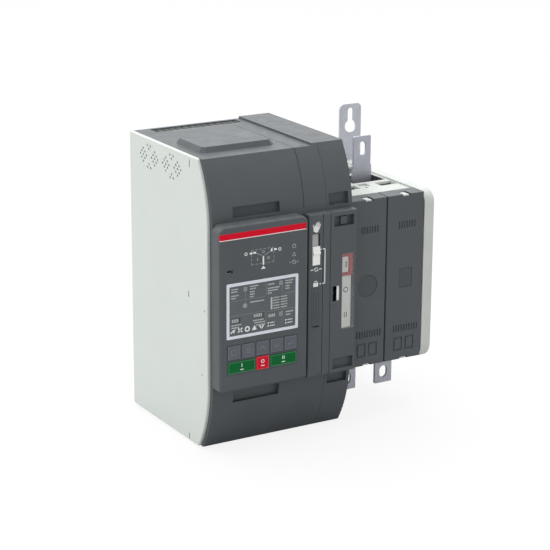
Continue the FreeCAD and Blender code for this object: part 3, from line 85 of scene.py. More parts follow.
# ------------------------------------------------------------------ shader building
class Tree:
    """A node tree with short ways to add, set and join nodes."""

    def __init__(self, name):
        self.material = bpy.data.materials.new(name)
        self.material.use_nodes = True
        self.nodes = self.material.node_tree.nodes
        self.links = self.material.node_tree.links
        self.nodes.clear()
        self.output = self.nodes.new("ShaderNodeOutputMaterial")
        self.coords = self.nodes.new("ShaderNodeTexCoord").outputs["Object"]

    def add(self, kind, settings=None, **inputs):
        """A new node; keyword names are its inputs, with _ for a space."""
        node = self.nodes.new("ShaderNode" + kind)
        for key, value in (settings or {}).items():
            setattr(node, key, value)
        for key, value in inputs.items():
            self.feed(node.inputs[key.replace("_", " ")], value)
        return node

    @classmethod
    def reopened(cls, material):
        """The tree of a finished material, to build on."""
        tree = cls.__new__(cls)
        tree.material = material
        tree.nodes = material.node_tree.nodes
        tree.links = material.node_tree.links
        tree.coords = next(n for n in tree.nodes if n.type == "TEX_COORD").outputs["Object"]
        return tree

    def feed(self, socket, value):
        """Joins a socket to the input, or sets the input to a number or colour."""
        if isinstance(value, bpy.types.NodeSocket):
            self.links.new(value, socket)
        else:
            socket.default_value = value

    def maths(self, operation, a, b=0.0):
        node = self.nodes.new("ShaderNodeMath")
        node.operation = operation
        self.feed(node.inputs[0], a)
        self.feed(node.inputs[1], b)
        return node.outputs[0]

    def ramp(self, value, low, high, out_low=0.0, out_high=1.0):
        """value stretched from low..high to out_low..out_high, held at the ends."""
        node = self.nodes.new("ShaderNodeMapRange")
        self.feed(node.inputs["Value"], value)
        limits = {"From Min": low, "From Max": high, "To Min": out_low, "To Max": out_high}
        for key, number in limits.items():
            self.feed(node.inputs[key], number)
        return node.outputs[0]

    def mix(self, share, a, b):
        node = self.nodes.new("ShaderNodeMix")
        node.data_type = "RGBA"
        self.feed(node.inputs["Factor"], share)
        self.feed(node.inputs[6], a)
        self.feed(node.inputs[7], b)
        return node.outputs[2]

    def noise(self, size_mm, detail=3.0, stretch=(1, 1, 1), roughness=0.5):
        """Noise whose features are about size_mm across, stretched along the axes given."""
        place = self.add("Mapping", Vector=self.coords)
        place.inputs["Scale"].default_value = tuple(1.0 / s for s in stretch)
        node = self.add("TexNoise", Vector=place.outputs[0], Scale=1 / (size_mm * MM), Detail=detail)
        node.inputs["Roughness"].default_value = roughness
        return node.outputs[0]

    def cells(self, size_mm):
        """A pattern of crystal cells about size_mm across."""
        return self.add("TexVoronoi", Vector=self.coords, Scale=1 / (size_mm * MM))

    def axis(self, index):
        """One object coordinate, in metres."""
        return self.add("SeparateXYZ", Vector=self.coords).outputs[index]

    def edges(self, radius_mm):
        """A rounded normal, and a mask that is 1 along sharp edges and 0 on flats."""
        soft = self.add("Bevel", {"samples": 4}, Radius=radius_mm * MM).outputs[0]
        true = self.add("NewGeometry").outputs["True Normal"]
        dot = self.add("VectorMath", {"operation": "DOT_PRODUCT"})
        self.links.new(soft, dot.inputs[0])
        self.links.new(true, dot.inputs[1])
        return soft, self.ramp(dot.outputs["Value"], 0.995, 0.86)

    def finish(self, colour, roughness, metallic=0.0, normal=None, **extra):
        shader = self.nodes.new("ShaderNodeBsdfPrincipled")
        self.feed(shader.inputs["Base Color"], colour)
        self.feed(shader.inputs["Roughness"], roughness)
        self.feed(shader.inputs["Metallic"], metallic)
        if normal is not None:
            self.links.new(normal, shader.inputs["Normal"])
        for key, value in extra.items():
            self.feed(shader.inputs[key.replace("_", " ")], value)
        self.links.new(shader.outputs[0], self.output.inputs[0])
        return self.material

    def bump(self, height, depth_mm, normal=None):
        """A normal tilted by a height pattern of the depth given."""
        node = self.add("Bump", Height=height, Distance=depth_mm * MM, Strength=1.0)
        if normal is not None:
            self.links.new(normal, node.inputs["Normal"])
        return node.outputs[0]


def rgb(red, green, blue):
    """A colour given as 0..255 screen values, as linear RGBA."""
    linear = []
    for value in (red, green, blue):
        share = value / 255
        linear.append(share / 12.92 if share <= 0.04045 else ((share + 0.055) / 1.055) ** 2.4)
    return (*linear, 1.0)


def shade(colour, factor):
    """The colour made darker or lighter."""
    return (*[min(1.0, c * factor) for c in colour[:3]], 1.0)


def between(t, value, low, high):
    """1 where the value lies between low and high, 0 elsewhere."""
    return t.maths("MULTIPLY", t.maths("GREATER_THAN", value, low), t.maths("LESS_THAN", value, high))


# ------------------------------------------------------------------ materials
def moulded(name, colour, roughness=0.46, depth_mm=0.012, edge_mm=0.5, wear=1.5, dust=0.06,
            specular=0.5, painted_shade_zone=None, painted_shade_tone=1.0):
    """Moulded plastic: spark-eroded grain, faint flow marks, rubbed edges, a little dust on top.

    The optional zone is an (axis, low, high) list in mm: inside all of them the colour is scaled by the
    given tone, as painted shade on places that lie in shadow.
    """
    t = Tree(name)
    soft, edge = t.edges(edge_mm)
    flow = t.noise(38, 4)
    fine = t.noise(0.35, 2, roughness=0.7)
    blotch = t.mix(t.ramp(flow, 0.3, 0.7), shade(colour, 0.93), shade(colour, 1.07))
    grain = t.mix(t.ramp(fine, 0.35, 0.65), shade(colour, 0.9), shade(colour, 1.1))
    base = t.mix(0.45, blotch, grain)
    broken = t.maths("MULTIPLY", edge, t.ramp(t.noise(2.2, 3), 0.35, 0.6, 0.25, 1.0))
    base = t.mix(t.maths("MULTIPLY", broken, 0.5), base, shade(colour, wear))
    up = t.add("SeparateXYZ", Vector=t.add("NewGeometry").outputs["Normal"]).outputs[2]
    settled = t.maths("MULTIPLY", t.ramp(up, 0.3, 1.0), t.ramp(t.noise(9, 5), 0.35, 0.75))
    base = t.mix(t.maths("MULTIPLY", settled, dust), base, rgb(200, 200, 198))
    # painted shade: inside the zone the colour is darkened as if shadow fell there
    if painted_shade_zone:
        inside = 1.0
        for index, low, high in painted_shade_zone:
            inside = t.maths("MULTIPLY", inside, between(t, t.axis(index), low * MM, high * MM))
        base = t.mix(inside, base, shade(colour, painted_shade_tone))
    rough = t.ramp(t.noise(14, 3), 0.3, 0.7, roughness - 0.04, roughness + 0.05)
    rough = t.maths("SUBTRACT", rough, t.maths("MULTIPLY", broken, 0.1))
    height = t.maths("ADD", fine, t.maths("MULTIPLY", t.noise(1.1, 2), 0.35))
    return t.finish(base, rough, normal=t.bump(height, depth_mm, soft), Specular_IOR_Level=specular)


def painted(name, colour, roughness=0.4):
    """Powder paint on sheet: orange peel, faint clouding, slightly thinner on edges."""
    t = Tree(name)
    soft, edge = t.edges(0.5)
    cloud = t.mix(t.ramp(t.noise(55, 4), 0.3, 0.7), shade(colour, 0.965), shade(colour, 1.02))
    fleck = t.mix(t.ramp(t.noise(0.5, 2), 0.4, 0.62), shade(colour, 0.97), shade(colour, 1.03))
    base = t.mix(0.5, cloud, fleck)
    base = t.mix(t.maths("MULTIPLY", edge, 0.35), base, shade(colour, 1.12))
    scuff = t.ramp(t.noise(6, 6, (1, 5, 1)), 0.66, 0.78)
    base = t.mix(t.maths("MULTIPLY", scuff, 0.1), base, shade(colour, 0.8))
    rough = t.ramp(t.noise(20, 3), 0.3, 0.7, roughness - 0.04, roughness + 0.06)
    return t.finish(base, rough, normal=t.bump(t.noise(0.9, 2), 0.02, soft))


def brushed(name, colour, roughness=0.34, stretch=(1, 1, 30), tarnish=0.25, metallic=1.0):
    """Rolled or brushed metal: long streaks, cloudy tarnish, bright rubbed edges."""
    t = Tree(name)
    soft, edge = t.edges(0.35)
    streak = t.noise(0.35, 3, stretch)
    cloud = t.noise(12, 5)
    base = t.mix(t.ramp(streak, 0.3, 0.7), shade(colour, 0.88), shade(colour, 1.1))
    base = t.mix(t.maths("MULTIPLY", t.ramp(cloud, 0.45, 0.75), tarnish), base, shade(colour, 0.62))
    base = t.mix(t.maths("MULTIPLY", edge, 0.6), base, shade(colour, 1.35))
    rough = t.ramp(streak, 0.25, 0.75, roughness - 0.07, roughness + 0.1)
    rough = t.maths("ADD", rough, t.maths("MULTIPLY", t.ramp(cloud, 0.4, 0.8), 0.1))
    return t.finish(base, rough, metallic, t.bump(streak, 0.006, soft))


def galvanised(name, colour, roughness=0.42):
    """Zinc plated sheet: fine crystal cells, rolling lines, darker stains."""
    t = Tree(name)
    soft, edge = t.edges(0.35)
    cell = t.add("SeparateColor", Color=t.cells(2.4).outputs["Color"]).outputs[0]
    streak = t.noise(0.4, 3, (1, 1, 22))
    base = t.mix(cell, shade(colour, 0.93), shade(colour, 1.07))
    base = t.mix(t.maths("MULTIPLY", streak, 0.35), base, shade(colour, 1.14))
    base = t.mix(t.maths("MULTIPLY", t.ramp(t.noise(16, 5), 0.5, 0.78), 0.3), base, shade(colour, 0.66))
    base = t.mix(t.maths("MULTIPLY", edge, 0.5), base, shade(colour, 1.3))
    rough = t.ramp(cell, 0.0, 1.0, roughness - 0.05, roughness + 0.07)
    height = t.maths("ADD", streak, t.maths("MULTIPLY", cell, 0.4))
    return t.finish(base, rough, 0.9, t.bump(height, 0.008, soft))


def clear(name):
    """Clear moulded cover: sees through straight on, mirrors at a glance, faint scratches."""
    t = Tree(name)
    soft, edge = t.edges(0.3)
    scratch = t.noise(0.5, 4, (1, 1, 18))
    normal = t.bump(scratch, 0.003, soft)
    rough = t.ramp(scratch, 0.3, 0.7, 0.06, 0.16)
    gloss = t.add("BsdfGlossy", Color=rgb(255, 255, 255), Roughness=rough, Normal=normal)
    through = t.add("BsdfTransparent", Color=rgb(252, 253, 252))
    body = t.add("BsdfDiffuse", Color=rgb(205, 212, 210))
    rim = t.add("MixShader", Fac=t.maths("MULTIPLY", edge, 0.12))
    t.links.new(through.outputs[0], rim.inputs[1])
    t.links.new(body.outputs[0], rim.inputs[2])
    glance = t.add("Fresnel", IOR=1.49)
    # light reaches what lies behind as if the pane were not there
    lit = t.maths("SUBTRACT", 1.0, t.add("LightPath").outputs["Is Shadow Ray"])
    out = t.add("MixShader", Fac=t.maths("MULTIPLY", glance.outputs[0], lit))
    t.links.new(rim.outputs[0], out.inputs[1])
    t.links.new(gloss.outputs[0], out.inputs[2])
    t.links.new(out.outputs[0], t.output.inputs[0])
    return t.material


def ink(name, colour):
    """Screen print: slightly uneven coverage and a soft sheen."""
    t = Tree(name)
    cover = t.noise(0.7, 3)
    base = t.mix(t.ramp(cover, 0.35, 0.7), shade(colour, 0.9), shade(colour, 1.05))
    rough = t.ramp(t.noise(1.5, 2), 0.3, 0.7, 0.45, 0.58)
    return t.finish(base, rough, normal=t.bump(cover, 0.004), Specular_IOR_Level=0.4)


PIXEL_PITCH = 0.5           # mm from one row of display pixels to the next


def display(name, colour):
    """Display pane: dark coated glass with faint pixel rows under a clear face."""
    t = Tree(name)
    soft = t.edges(0.3)[0]
    across = t.maths("FRACT", t.maths("MULTIPLY", t.axis(0), 1 / (PIXEL_PITCH * MM)))
    upward = t.maths("FRACT", t.maths("MULTIPLY", t.axis(2), 1 / (PIXEL_PITCH * MM)))
    grid = t.maths("MAXIMUM", t.ramp(across, 0.86, 0.95), t.ramp(upward, 0.86, 0.95))
    cloud = t.mix(t.ramp(t.noise(26, 3), 0.3, 0.7), shade(colour, 0.93), shade(colour, 1.08))
    base = t.mix(t.maths("MULTIPLY", grid, 0.14), cloud, shade(colour, 0.6))
    rough = t.ramp(t.noise(8, 4), 0.3, 0.7, 0.2, 0.3)
    normal = t.bump(t.noise(5, 2), 0.004, soft)
    return t.finish(base, rough, normal=normal, Coat_Weight=0.25, Coat_Roughness=0.12)


def circuit(name):
    """Circuit board: solder mask over tracks, pale pads in a grid."""
    t = Tree(name)
    soft, edge = t.edges(0.2)
    run = t.add("TexBrick", {"offset": 0.4}, Vector=t.coords, Scale=60.0)
    run.inputs["Color1"].default_value = rgb(12, 96, 52)
    run.inputs["Color2"].default_value = rgb(8, 80, 44)
    run.inputs["Mortar"].default_value = rgb(30, 128, 70)
    pads = t.cells(5.0).outputs["Distance"]
    base = t.mix(t.ramp(pads, 0.2, 0.14), run.outputs[0], rgb(196, 190, 170))
    base = t.mix(t.maths("MULTIPLY", edge, 0.5), base, rgb(150, 150, 110))
    rough = t.ramp(t.noise(3, 3), 0.3, 0.7, 0.3, 0.45)
    return t.finish(base, rough, normal=t.bump(run.outputs[1], 0.03, soft))


def winding(name, colour):
    """Enamelled wire laid in close turns round an upright spool."""
    t = Tree(name)
    wire = 0.6 * MM
    turn = t.maths("SINE", t.maths("MULTIPLY", t.axis(2), 2 * math.pi / wire))
    groove = t.ramp(turn, -1.0, 1.0)
    # painted shade in the grooves between the turns and a painted highlight on their crests, following the
    # wire's wave
    base = t.mix(groove, shade(colour, 0.4), shade(colour, 1.15))
    base = t.mix(t.maths("MULTIPLY", t.ramp(t.noise(6, 3), 0.4, 0.7), 0.3), base, shade(colour, 0.6))
    return t.finish(base, t.ramp(t.noise(2, 2), 0.3, 0.7, 0.22, 0.36), 0.8, t.bump(groove, 0.25))


BAND_TOP = BEZEL.z1 - 6.5       # heights of the printed band on the operator panel, in mm
BAND_LOW = BEZEL.z1 - 12.1
RULE_LOW = BEZEL.z1 - 12.8


def banded_panel(name, colour):
    """The operator panel's plastic, with a red band and a white rule printed across its face."""
    material = moulded(name, colour, roughness=0.46, edge_mm=0.9, wear=1.45)
    t = Tree.reopened(material)
    shader = next(n for n in t.nodes if n.type == "BSDF_PRINCIPLED")
    base = shader.inputs["Base Color"].links[0].from_socket
    height = t.axis(2)
    across = t.axis(0)
    facing = t.add("SeparateXYZ", Vector=t.add("NewGeometry").outputs["True Normal"]).outputs[1]
    inside = t.maths("MULTIPLY", between(t, across, (BEZEL.x0 - 0.1) * MM, (BEZEL.x1 - 2.4) * MM),
                     t.maths("LESS_THAN", facing, -0.5))
    red = t.maths("MULTIPLY", inside, between(t, height, BAND_LOW * MM, BAND_TOP * MM))
    white = t.maths("MULTIPLY", inside, between(t, height, RULE_LOW * MM, BAND_LOW * MM))
    base = t.mix(red, base, rgb(214, 6, 40))
    base = t.mix(white, base, rgb(238, 226, 226))
    t.links.new(base, shader.inputs["Base Color"])
    t.links.new(t.ramp(red, 0.0, 1.0, 0.3, 0.12), shader.inputs["Specular IOR Level"])
    return material


DARK = rgb(81, 86, 89)
# painted shade: the wells beside the load lugs lie in shadow, so their colour is darkened; x, y and z
# limits in mm
LUG_WELL_SHADE = [(0, 0, END.x0 + 0.8), (1, -90.2, -59.8), (2, 62.9, 81.2)]
# painted shade: the tongue above the knob lies in the shade of the slot it runs in, so its colour is
# darkened
KNOB_TONGUE_SHADE = [(0, KNOB.x0, KNOB.x1), (1, COLUMN.y0 + 1.2, COLUMN.y0 + 3.3)]
MATERIALS = {
    "side_paint": painted("side_paint", rgb(203, 209, 204)),
    "light_grey_plastic": moulded("light_grey_plastic", rgb(200, 204, 200), 0.55, wear=1.08, dust=0.0,
                                  specular=0.3, painted_shade_zone=LUG_WELL_SHADE, painted_shade_tone=0.1),
    "dark_plastic": moulded("dark_plastic", DARK, specular=0.3),
    "panel_plastic": banded_panel("panel_plastic", DARK),
    "zinc_steel": galvanised("zinc_steel", rgb(196, 199, 206)),
    "screw_steel": brushed("screw_steel", rgb(176, 178, 182), 0.3, (30, 1, 1)),
    "yoke_steel": brushed("yoke_steel", rgb(150, 151, 155), 0.42, (1, 1, 20)),
    "lever_steel": brushed("lever_steel", rgb(150, 152, 156), 0.38, (1, 25, 1)),
    "winding_copper": winding("winding_copper", rgb(196, 112, 58)),
    "bobbin_plastic": moulded("bobbin_plastic", rgb(44, 45, 48), 0.42),
    "tinned_copper": brushed("tinned_copper", rgb(186, 188, 198), 0.42, (1, 1, 40), 0.1, 0.7),
    "bush_bronze": brushed("bush_bronze", rgb(196, 150, 84), 0.3, (20, 1, 1)),
    "white_plastic": moulded("white_plastic", rgb(246, 247, 244), 0.42, wear=1.03, dust=0.0,
                             painted_shade_zone=KNOB_TONGUE_SHADE, painted_shade_tone=0.45),
    "clear_plastic": clear("clear_plastic"),
    "pointer_red": moulded("pointer_red", rgb(186, 44, 58), 0.4, wear=1.2, dust=0.0, specular=0.3),
    "tab_plastic": moulded("tab_plastic", shade(DARK, 0.92), 0.44, specular=0.3),
    "lcd_border": moulded("lcd_border", rgb(220, 226, 234), 0.4, wear=1.08, dust=0.0),
    "lcd_glass": display("lcd_glass", rgb(82, 87, 92)),
    "light_pipe": moulded("light_pipe", rgb(240, 243, 243), 0.25, wear=1.05, dust=0.0),
    "circuit_board": circuit("circuit_board"),
    "connector_green": moulded("connector_green", rgb(60, 66, 62), 0.5, dust=0.04),
    "key_grey": moulded("key_grey", rgb(90, 96, 104), 0.5, wear=1.25, specular=0.35),
    "key_green": moulded("key_green", rgb(0, 98, 46), 0.5, wear=1.3, dust=0.0, specular=0.15),
    "key_red": moulded("key_red", rgb(208, 10, 44), 0.5, wear=1.2, dust=0.0, specular=0.15),
}


def paint_nodes():
    """Every CAD node takes the material of its slot in the record."""
    for entry in frame["record"]["subparts"]:
        node = NODES[entry["node"]]
        node.data.materials.clear()
        node.data.materials.append(MATERIALS[entry["material_slot"]])


# ------------------------------------------------------------------ printed marks
MARK_SINK = 0.01            # mm that a mark reaches into the face below it
NEXT_LAYER = 0.07           # mm from one printed layer to the one over it


class Marks:
    """Flat marks facing the front, gathered as outlines of (x, z) in millimetres."""

    def __init__(self):
        self.faces = []

    def polygon(self, points):
        self.faces.append(points)
        return self

    def block(self, x0, x1, z0, z1):
        return self.polygon([(x0, z0), (x1, z0), (x1, z1), (x0, z1)])

    def line(self, x0, z0, x1, z1, width):
        """A straight stroke with square ends."""
        length = math.hypot(x1 - x0, z1 - z0)
        ux, uz = (x1 - x0) / length, (z1 - z0) / length
        nx, nz = -uz * width / 2, ux * width / 2
        start = [(x0 + nx, z0 + nz), (x0 - nx, z0 - nz)]
        end = [(x1 - nx, z1 - nz), (x1 + nx, z1 + nz)]
        return self.polygon(start + end)

    def path(self, points, width):
        """A bent stroke with round corners."""
        for (x0, z0), (x1, z1) in zip(points, points[1:]):
            self.line(x0, z0, x1, z1, width)
        for x, z in points[1:-1]:
            self.disc(x, z, width / 2, 12)
        return self

    def disc(self, x, z, radius, count=24):
        turn = 2 * math.pi / count
        return self.polygon([(x + radius * math.cos(i * turn), z + radius * math.sin(i * turn))
                             for i in range(count)])

    def arc(self, x, z, radius, width, first=0.0, last=360.0, count=28):
        """A curved stroke, as a row of four-sided faces."""
        for i in range(count):
            a = math.radians(first + (last - first) * i / count)
            b = math.radians(first + (last - first) * (i + 1) / count)
            inner, outer = radius - width / 2, radius + width / 2
            self.polygon([(x + r * math.cos(c), z + r * math.sin(c))
                          for r, c in ((inner, a), (outer, a), (outer, b), (inner, b))])
        return self

    def frame(self, x0, x1, z0, z1, width):
        self.block(x0, x1, z1 - width, z1)
        self.block(x0, x1, z0, z0 + width)
        self.block(x0, x0 + width, z0 + width, z1 - width)
        return self.block(x1 - width, x1, z0 + width, z1 - width)

    def dashes(self, x0, z0, x1, z1, width, count):
        """A broken straight line of equal dashes and gaps."""
        for i in range(count):
            a = i / (count - 0.4)
            b = (i + 0.6) / (count - 0.4)
            self.line(x0 + (x1 - x0) * a, z0 + (z1 - z0) * a,
                      x0 + (x1 - x0) * b, z0 + (z1 - z0) * b, width)
        return self

    def caption(self, x0, x1, z0, z1, rng):
        """A row of short strokes that stands for a small caption."""
        x = x0
        while x < x1 - 0.3:
            step = min(rng.uniform(0.7, 2.2), x1 - x)
            self.block(x, x + step, z0, z1)
            x += step + 0.35
        return self

    def build(self, name, face_y, body, material, thickness=0.06):
        """One closed thin mesh in front of the plane y = face_y, riding on a body."""
        mesh = bpy.data.meshes.new(name)
        form = bmesh.new()
        y = face_y - thickness / 2 + MARK_SINK
        for points in self.faces:
            form.faces.new([form.verts.new((x * MM, y * MM, z * MM)) for x, z in points])
        bmesh.ops.remove_doubles(form, verts=form.verts, dist=0.00001)
        bmesh.ops.recalc_face_normals(form, faces=form.faces)
        form.to_mesh(mesh)
        form.free()
        piece = bpy.data.objects.new(name, mesh)
        bpy.context.scene.collection.objects.link(piece)
        mesh.materials.append(material)
        solid = piece.modifiers.new("thickness", "SOLIDIFY")
        solid.thickness = (thickness + 2 * MARK_SINK) * MM
        solid.offset = 0.0
        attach(piece, body)
        return piece


WHITE_INK = ink("white_ink", rgb(232, 236, 234))
PALE_INK = ink("pale_ink", rgb(168, 173, 174))
FAINT_INK = ink("faint_ink", rgb(128, 134, 136))
KEY_INK = ink("key_ink", rgb(128, 133, 141))
DARK_INK = ink("dark_ink", rgb(58, 62, 66))
SEGMENT_INK = ink("segment_ink", rgb(186, 194, 192))
ICON_INK = ink("icon_ink", rgb(150, 156, 157))
BRIGHT_INK = ink("bright_ink", rgb(228, 233, 232))
GREEN_INK = ink("green_ink", rgb(78, 150, 100))
RED_INK = ink("red_ink", rgb(226, 92, 100))


def panel_diagram():
    """Mimic of the two sources, the switch and the load, in the upper half of the panel."""
    face = BEZEL.y0
    left = BEZEL.x0
    top = BEZEL.z1
    white = Marks()
    x_left, x_right = left + 33.4, left + 57.2
    z_low, z_high = top - 39.0, top - 25.2
    middle = left + 46.0
    white.block(middle - 0.75, middle + 0.75, top - 40.6, top - 32.2)
    white.polygon([(middle - 2.6, top - 44.4), (middle + 2.6, top - 44.4), (middle, top - 41.6)])
    for x in (left + 27.6, left + 63.6):
        white.arc(x, top - 27.9, 1.3, 0.7, 0, 360, 20)
    white.build("panel_diagram_marks", face, "enclosure", WHITE_INK)
    pale = Marks()
    pale.dashes(x_left, z_high, x_right, z_high, 0.45, 6)
    pale.dashes(x_left, z_low, x_right, z_low, 0.45, 6)
    pale.dashes(x_left, z_low, x_left, z_high, 0.45, 4)
    pale.dashes(x_right, z_low, x_right, z_high, 0.45, 4)
    pale.line(left + 37.6, top - 28.2, middle - 1.2, top - 31.6, 0.5)
    pale.line(left + 54.4, top - 28.0, middle + 1.2, top - 31.6, 0.5)
    pale.arc(middle, top - 28.0, 1.15, 0.5, 0, 360, 20)
    pale.block(left + 39.4, left + 40.1, top - 36.2, top - 33.2)
    for x in (left + 50.4, left + 51.8):
        pale.block(x, x + 0.7, top - 36.0, top - 33.0)
    pale.build("panel_diagram_lines", face, "enclosure", PALE_INK)


def service_port_mark():
    """Pale edge of the connector that shows in the small service port."""
    marks = Marks()
    x0, z0 = BEZEL.x0 + 7.6, BEZEL.z1 - 44.25
    marks.block(x0, x0 + 4.4, z0, z0 + 0.5)
    marks.block(x0, x0 + 0.5, z0 + 0.5, z0 + 2.4)
    marks.build("service_port_mark", BEZEL.y0 + 1.2, "enclosure", PALE_INK)


def panel_status_icons():
    """Ready, alarm and automatic symbols down the right of the panel."""
    face = BEZEL.y0
    x = BEZEL.x0 + 79.0
    marks = Marks()
    marks.arc(x, BEZEL.z1 - 27.2, 1.7, 0.55, 0, 360, 24)
    z = BEZEL.z1 - 36.6
    marks.path([(x - 2.0, z), (x + 2.0, z), (x, z + 3.4), (x - 2.0, z)], 0.5)
    z = BEZEL.z1 - 42.6
    loop_arrow(marks, x, z, 1.7, 0.6)
    for side in (-1, 1):
        marks.block(x + side * 4.1 - 0.9, x + side * 4.1 + 0.9, z - 0.35, z + 0.35)
    marks.build("panel_status_marks", face, "enclosure", PALE_INK)


def loop_arrow(marks, x, z, radius, width):
    """Two arcs chasing each other, each with an arrow head."""
    for start in (25, 205):
        marks.arc(x, z, radius, width, start, start + 120, 12)
        end = math.radians(start + 120)
        px, pz = x + radius * math.cos(end), z + radius * math.sin(end)
        along = (-math.sin(end), math.cos(end))
        out = (math.cos(end), math.sin(end))
        size = width * 1.6
        marks.polygon([(px + out[0] * size, pz + out[1] * size),
                       (px - out[0] * size, pz - out[1] * size),
                       (px + along[0] * size * 1.6, pz + along[1] * size * 1.6)])


class Page:
    """The lit area of the display; places are shares of its width and height, from the upper left."""

    def __init__(self):
        border = 3.1
        self.x0, self.z1 = LCD.x0 + border, LCD.z1 - border
        self.width = LCD.x1 - border - self.x0
        self.height = self.z1 - (LCD.z0 + border)
        self.face = Span("lcd_panel").y0
        self.rng = random.Random(11)

    def across(self, u):
        return self.x0 + u * self.width

    def down(self, v):
        return self.z1 - v * self.height

    def caption(self, marks, u0, u1, v, half):
        """A row of strokes from u0 to u1, as high as twice half, in mm."""
        middle = self.down(v)
        marks.caption(self.across(u0), self.across(u1), middle - half, middle + half, self.rng)


# shares of the page: u0, v0, u1, v1 of each rule
PAGE_RULES = (
    (0.015, 0.3, 0.545, 0.3), (0.015, 0.6, 0.54, 0.6), (0.57, 0.625, 0.985, 0.625),
    (0.85, 0.3, 0.985, 0.3), (0.553, 0.02, 0.553, 0.28), (0.553, 0.62, 0.553, 0.98),
    (0.8, 0.14, 0.8, 0.33), (0.8, 0.63, 0.8, 0.98), (0.24, 0.13, 0.24, 0.36),
)
# u0, u1 and v of each caption
PAGE_CAPTIONS = (
    (0.03, 0.13, 0.06), (0.03, 0.12, 0.11), (0.03, 0.14, 0.19), (0.03, 0.1, 0.24),
    (0.31, 0.44, 0.05), (0.31, 0.4, 0.1), (0.31, 0.38, 0.16), (0.31, 0.38, 0.21), (0.31, 0.37, 0.26),
    (0.31, 0.53, 0.37), (0.58, 0.68, 0.07), (0.58, 0.76, 0.15), (0.58, 0.74, 0.2), (0.58, 0.64, 0.25),
    (0.85, 0.97, 0.05), (0.85, 0.95, 0.1), (0.85, 0.92, 0.16), (0.85, 0.91, 0.21),
    (0.03, 0.18, 0.79), (0.03, 0.15, 0.84), (0.36, 0.52, 0.76), (0.38, 0.54, 0.81), (0.4, 0.54, 0.86),
    (0.86, 0.97, 0.69), (0.86, 0.93, 0.75),
)
# u0, u1, v0 and v1 of the two dark value boxes, and of the value without a box
VALUE_BOXES = ((0.025, 0.165, 0.65, 0.75), (0.355, 0.515, 0.61, 0.71))
OPEN_VALUE = (0.58, 0.7, 0.67, 0.76)


def display_rules(page):
    rules = Marks()
    for u0, v0, u1, v1 in PAGE_RULES:
        rules.line(page.across(u0), page.down(v0), page.across(u1), page.down(v1), 0.42)
    rules.build("display_rules", page.face, "enclosure", FAINT_INK)


def display_captions(page):
    captions = Marks()
    for u0, u1, v in PAGE_CAPTIONS:
        page.caption(captions, u0, u1, v, 0.55)
    for row in range(5):
        v = 0.36 + row * 0.054
        page.caption(captions, 0.665, 0.76, v, 0.5)
        page.caption(captions, 0.78, 0.88, v, 0.5)
    captions.build("display_captions", page.face, "enclosure", SEGMENT_INK)


def display_icons(page):
    """Three small framed symbols and a dot."""
    icons = Marks()
    for u, v in ((0.24, 0.085), (0.78, 0.075), (0.78, 0.71)):
        x, z = page.across(u), page.down(v)
        icons.frame(x - 1.9, x + 1.9, z - 2.0, z + 2.0, 0.9)
        icons.block(x - 0.5, x + 0.5, z - 1.1, z + 1.1)
    icons.disc(page.across(0.235), page.down(0.42), 2.3)
    icons.build("display_icons", page.face - NEXT_LAYER, "enclosure", ICON_INK)


def display_values(page):
    """Dark boxes with a row of upright strokes in each, and a level bar."""
    wells = Marks()
    for u0, u1, v0, v1 in VALUE_BOXES:
        wells.block(page.across(u0), page.across(u1), page.down(v1), page.down(v0))
    wells.build("display_wells", page.face, "enclosure", DARK_INK)
    values = Marks()
    values.block(page.across(0.625), page.across(0.65), page.down(0.59), page.down(0.34))
    stroke, pitch = 1.2, 1.9
    for u0, u1, v0, v1 in VALUE_BOXES + (OPEN_VALUE,):
        x = page.across(u0) + 0.8
        while x + stroke < page.across(u1) - 0.4:
            values.block(x, x + stroke, page.down(v1) + 0.7, page.down(v0) - 0.7)
            x += pitch
    values.build("display_values", page.face - NEXT_LAYER, "enclosure", SEGMENT_INK)


def display_symbols(page):
    """Tick, cross, ring, triangle and chevron along the foot, and four short captions with dots."""
    symbols = Marks()
    z = page.down(0.905)
    tick, cross, ring, triangle, chevron = [page.across(0.055 + i * 0.108) for i in range(5)]
    symbols.path([(tick - 2.5, z - 1.8), (tick + 2.6, z + 2.1), (tick + 0.5, z - 1.9)], 1.3)
    symbols.line(cross - 2.3, z - 2.0, cross + 2.3, z + 2.0, 1.3)
    symbols.line(cross - 2.3, z + 2.0, cross + 2.3, z - 2.0, 1.3)
    symbols.arc(ring, z, 2.1, 1.4, 0, 360, 18)
    symbols.polygon([(triangle - 2.7, z - 2.1), (triangle + 2.7, z - 2.1), (triangle, z + 2.6)])
    symbols.path([(chevron - 2.4, z + 2.0), (chevron, z - 2.0), (chevron + 2.4, z + 2.0)], 1.4)
    for u in (0.59, 0.86):
        for v in (0.86, 0.92):
            symbols.disc(page.across(u), page.down(v), 0.8, 12)
            page.caption(symbols, u + 0.025, u + 0.1, v, 0.45)
    symbols.build("display_symbols", page.face, "enclosure", BRIGHT_INK)


def display_content():
    """Measurement page: rules, caption strokes, value boxes and a row of symbols."""
    page = Page()
    display_rules(page)
    display_captions(page)
    display_icons(page)
    display_values(page)
    display_symbols(page)


def menu_key_icon(index, x, z):
    """A generic sign for each menu key: page, rows, up arrow, down arrow, return arrow."""
    marks = Marks()
    if index == 0:
        marks.frame(x - 3.0, x + 3.0, z - 2.6, z + 2.6, 0.4)
    elif index == 1:
        for dz in (-2, 0, 2):
            marks.line(x - 2.6, z + dz, x + 2.6, z + dz, 0.5)
    elif index == 2:
        marks.path([(x - 2.6, z - 1.4), (x, z + 1.8), (x + 2.6, z - 1.4)], 0.6)
    elif index == 3:
        marks.path([(x - 2.6, z + 1.4), (x, z - 1.8), (x + 2.6, z + 1.4)], 0.6)
    else:
        marks.path([(x + 2.6, z + 1.6), (x + 2.6, z - 0.8), (x - 2.4, z - 0.8)], 0.5)
        marks.polygon([(x - 3.2, z - 0.8), (x - 1.2, z + 0.5), (x - 1.2, z - 2.1)])
    return marks


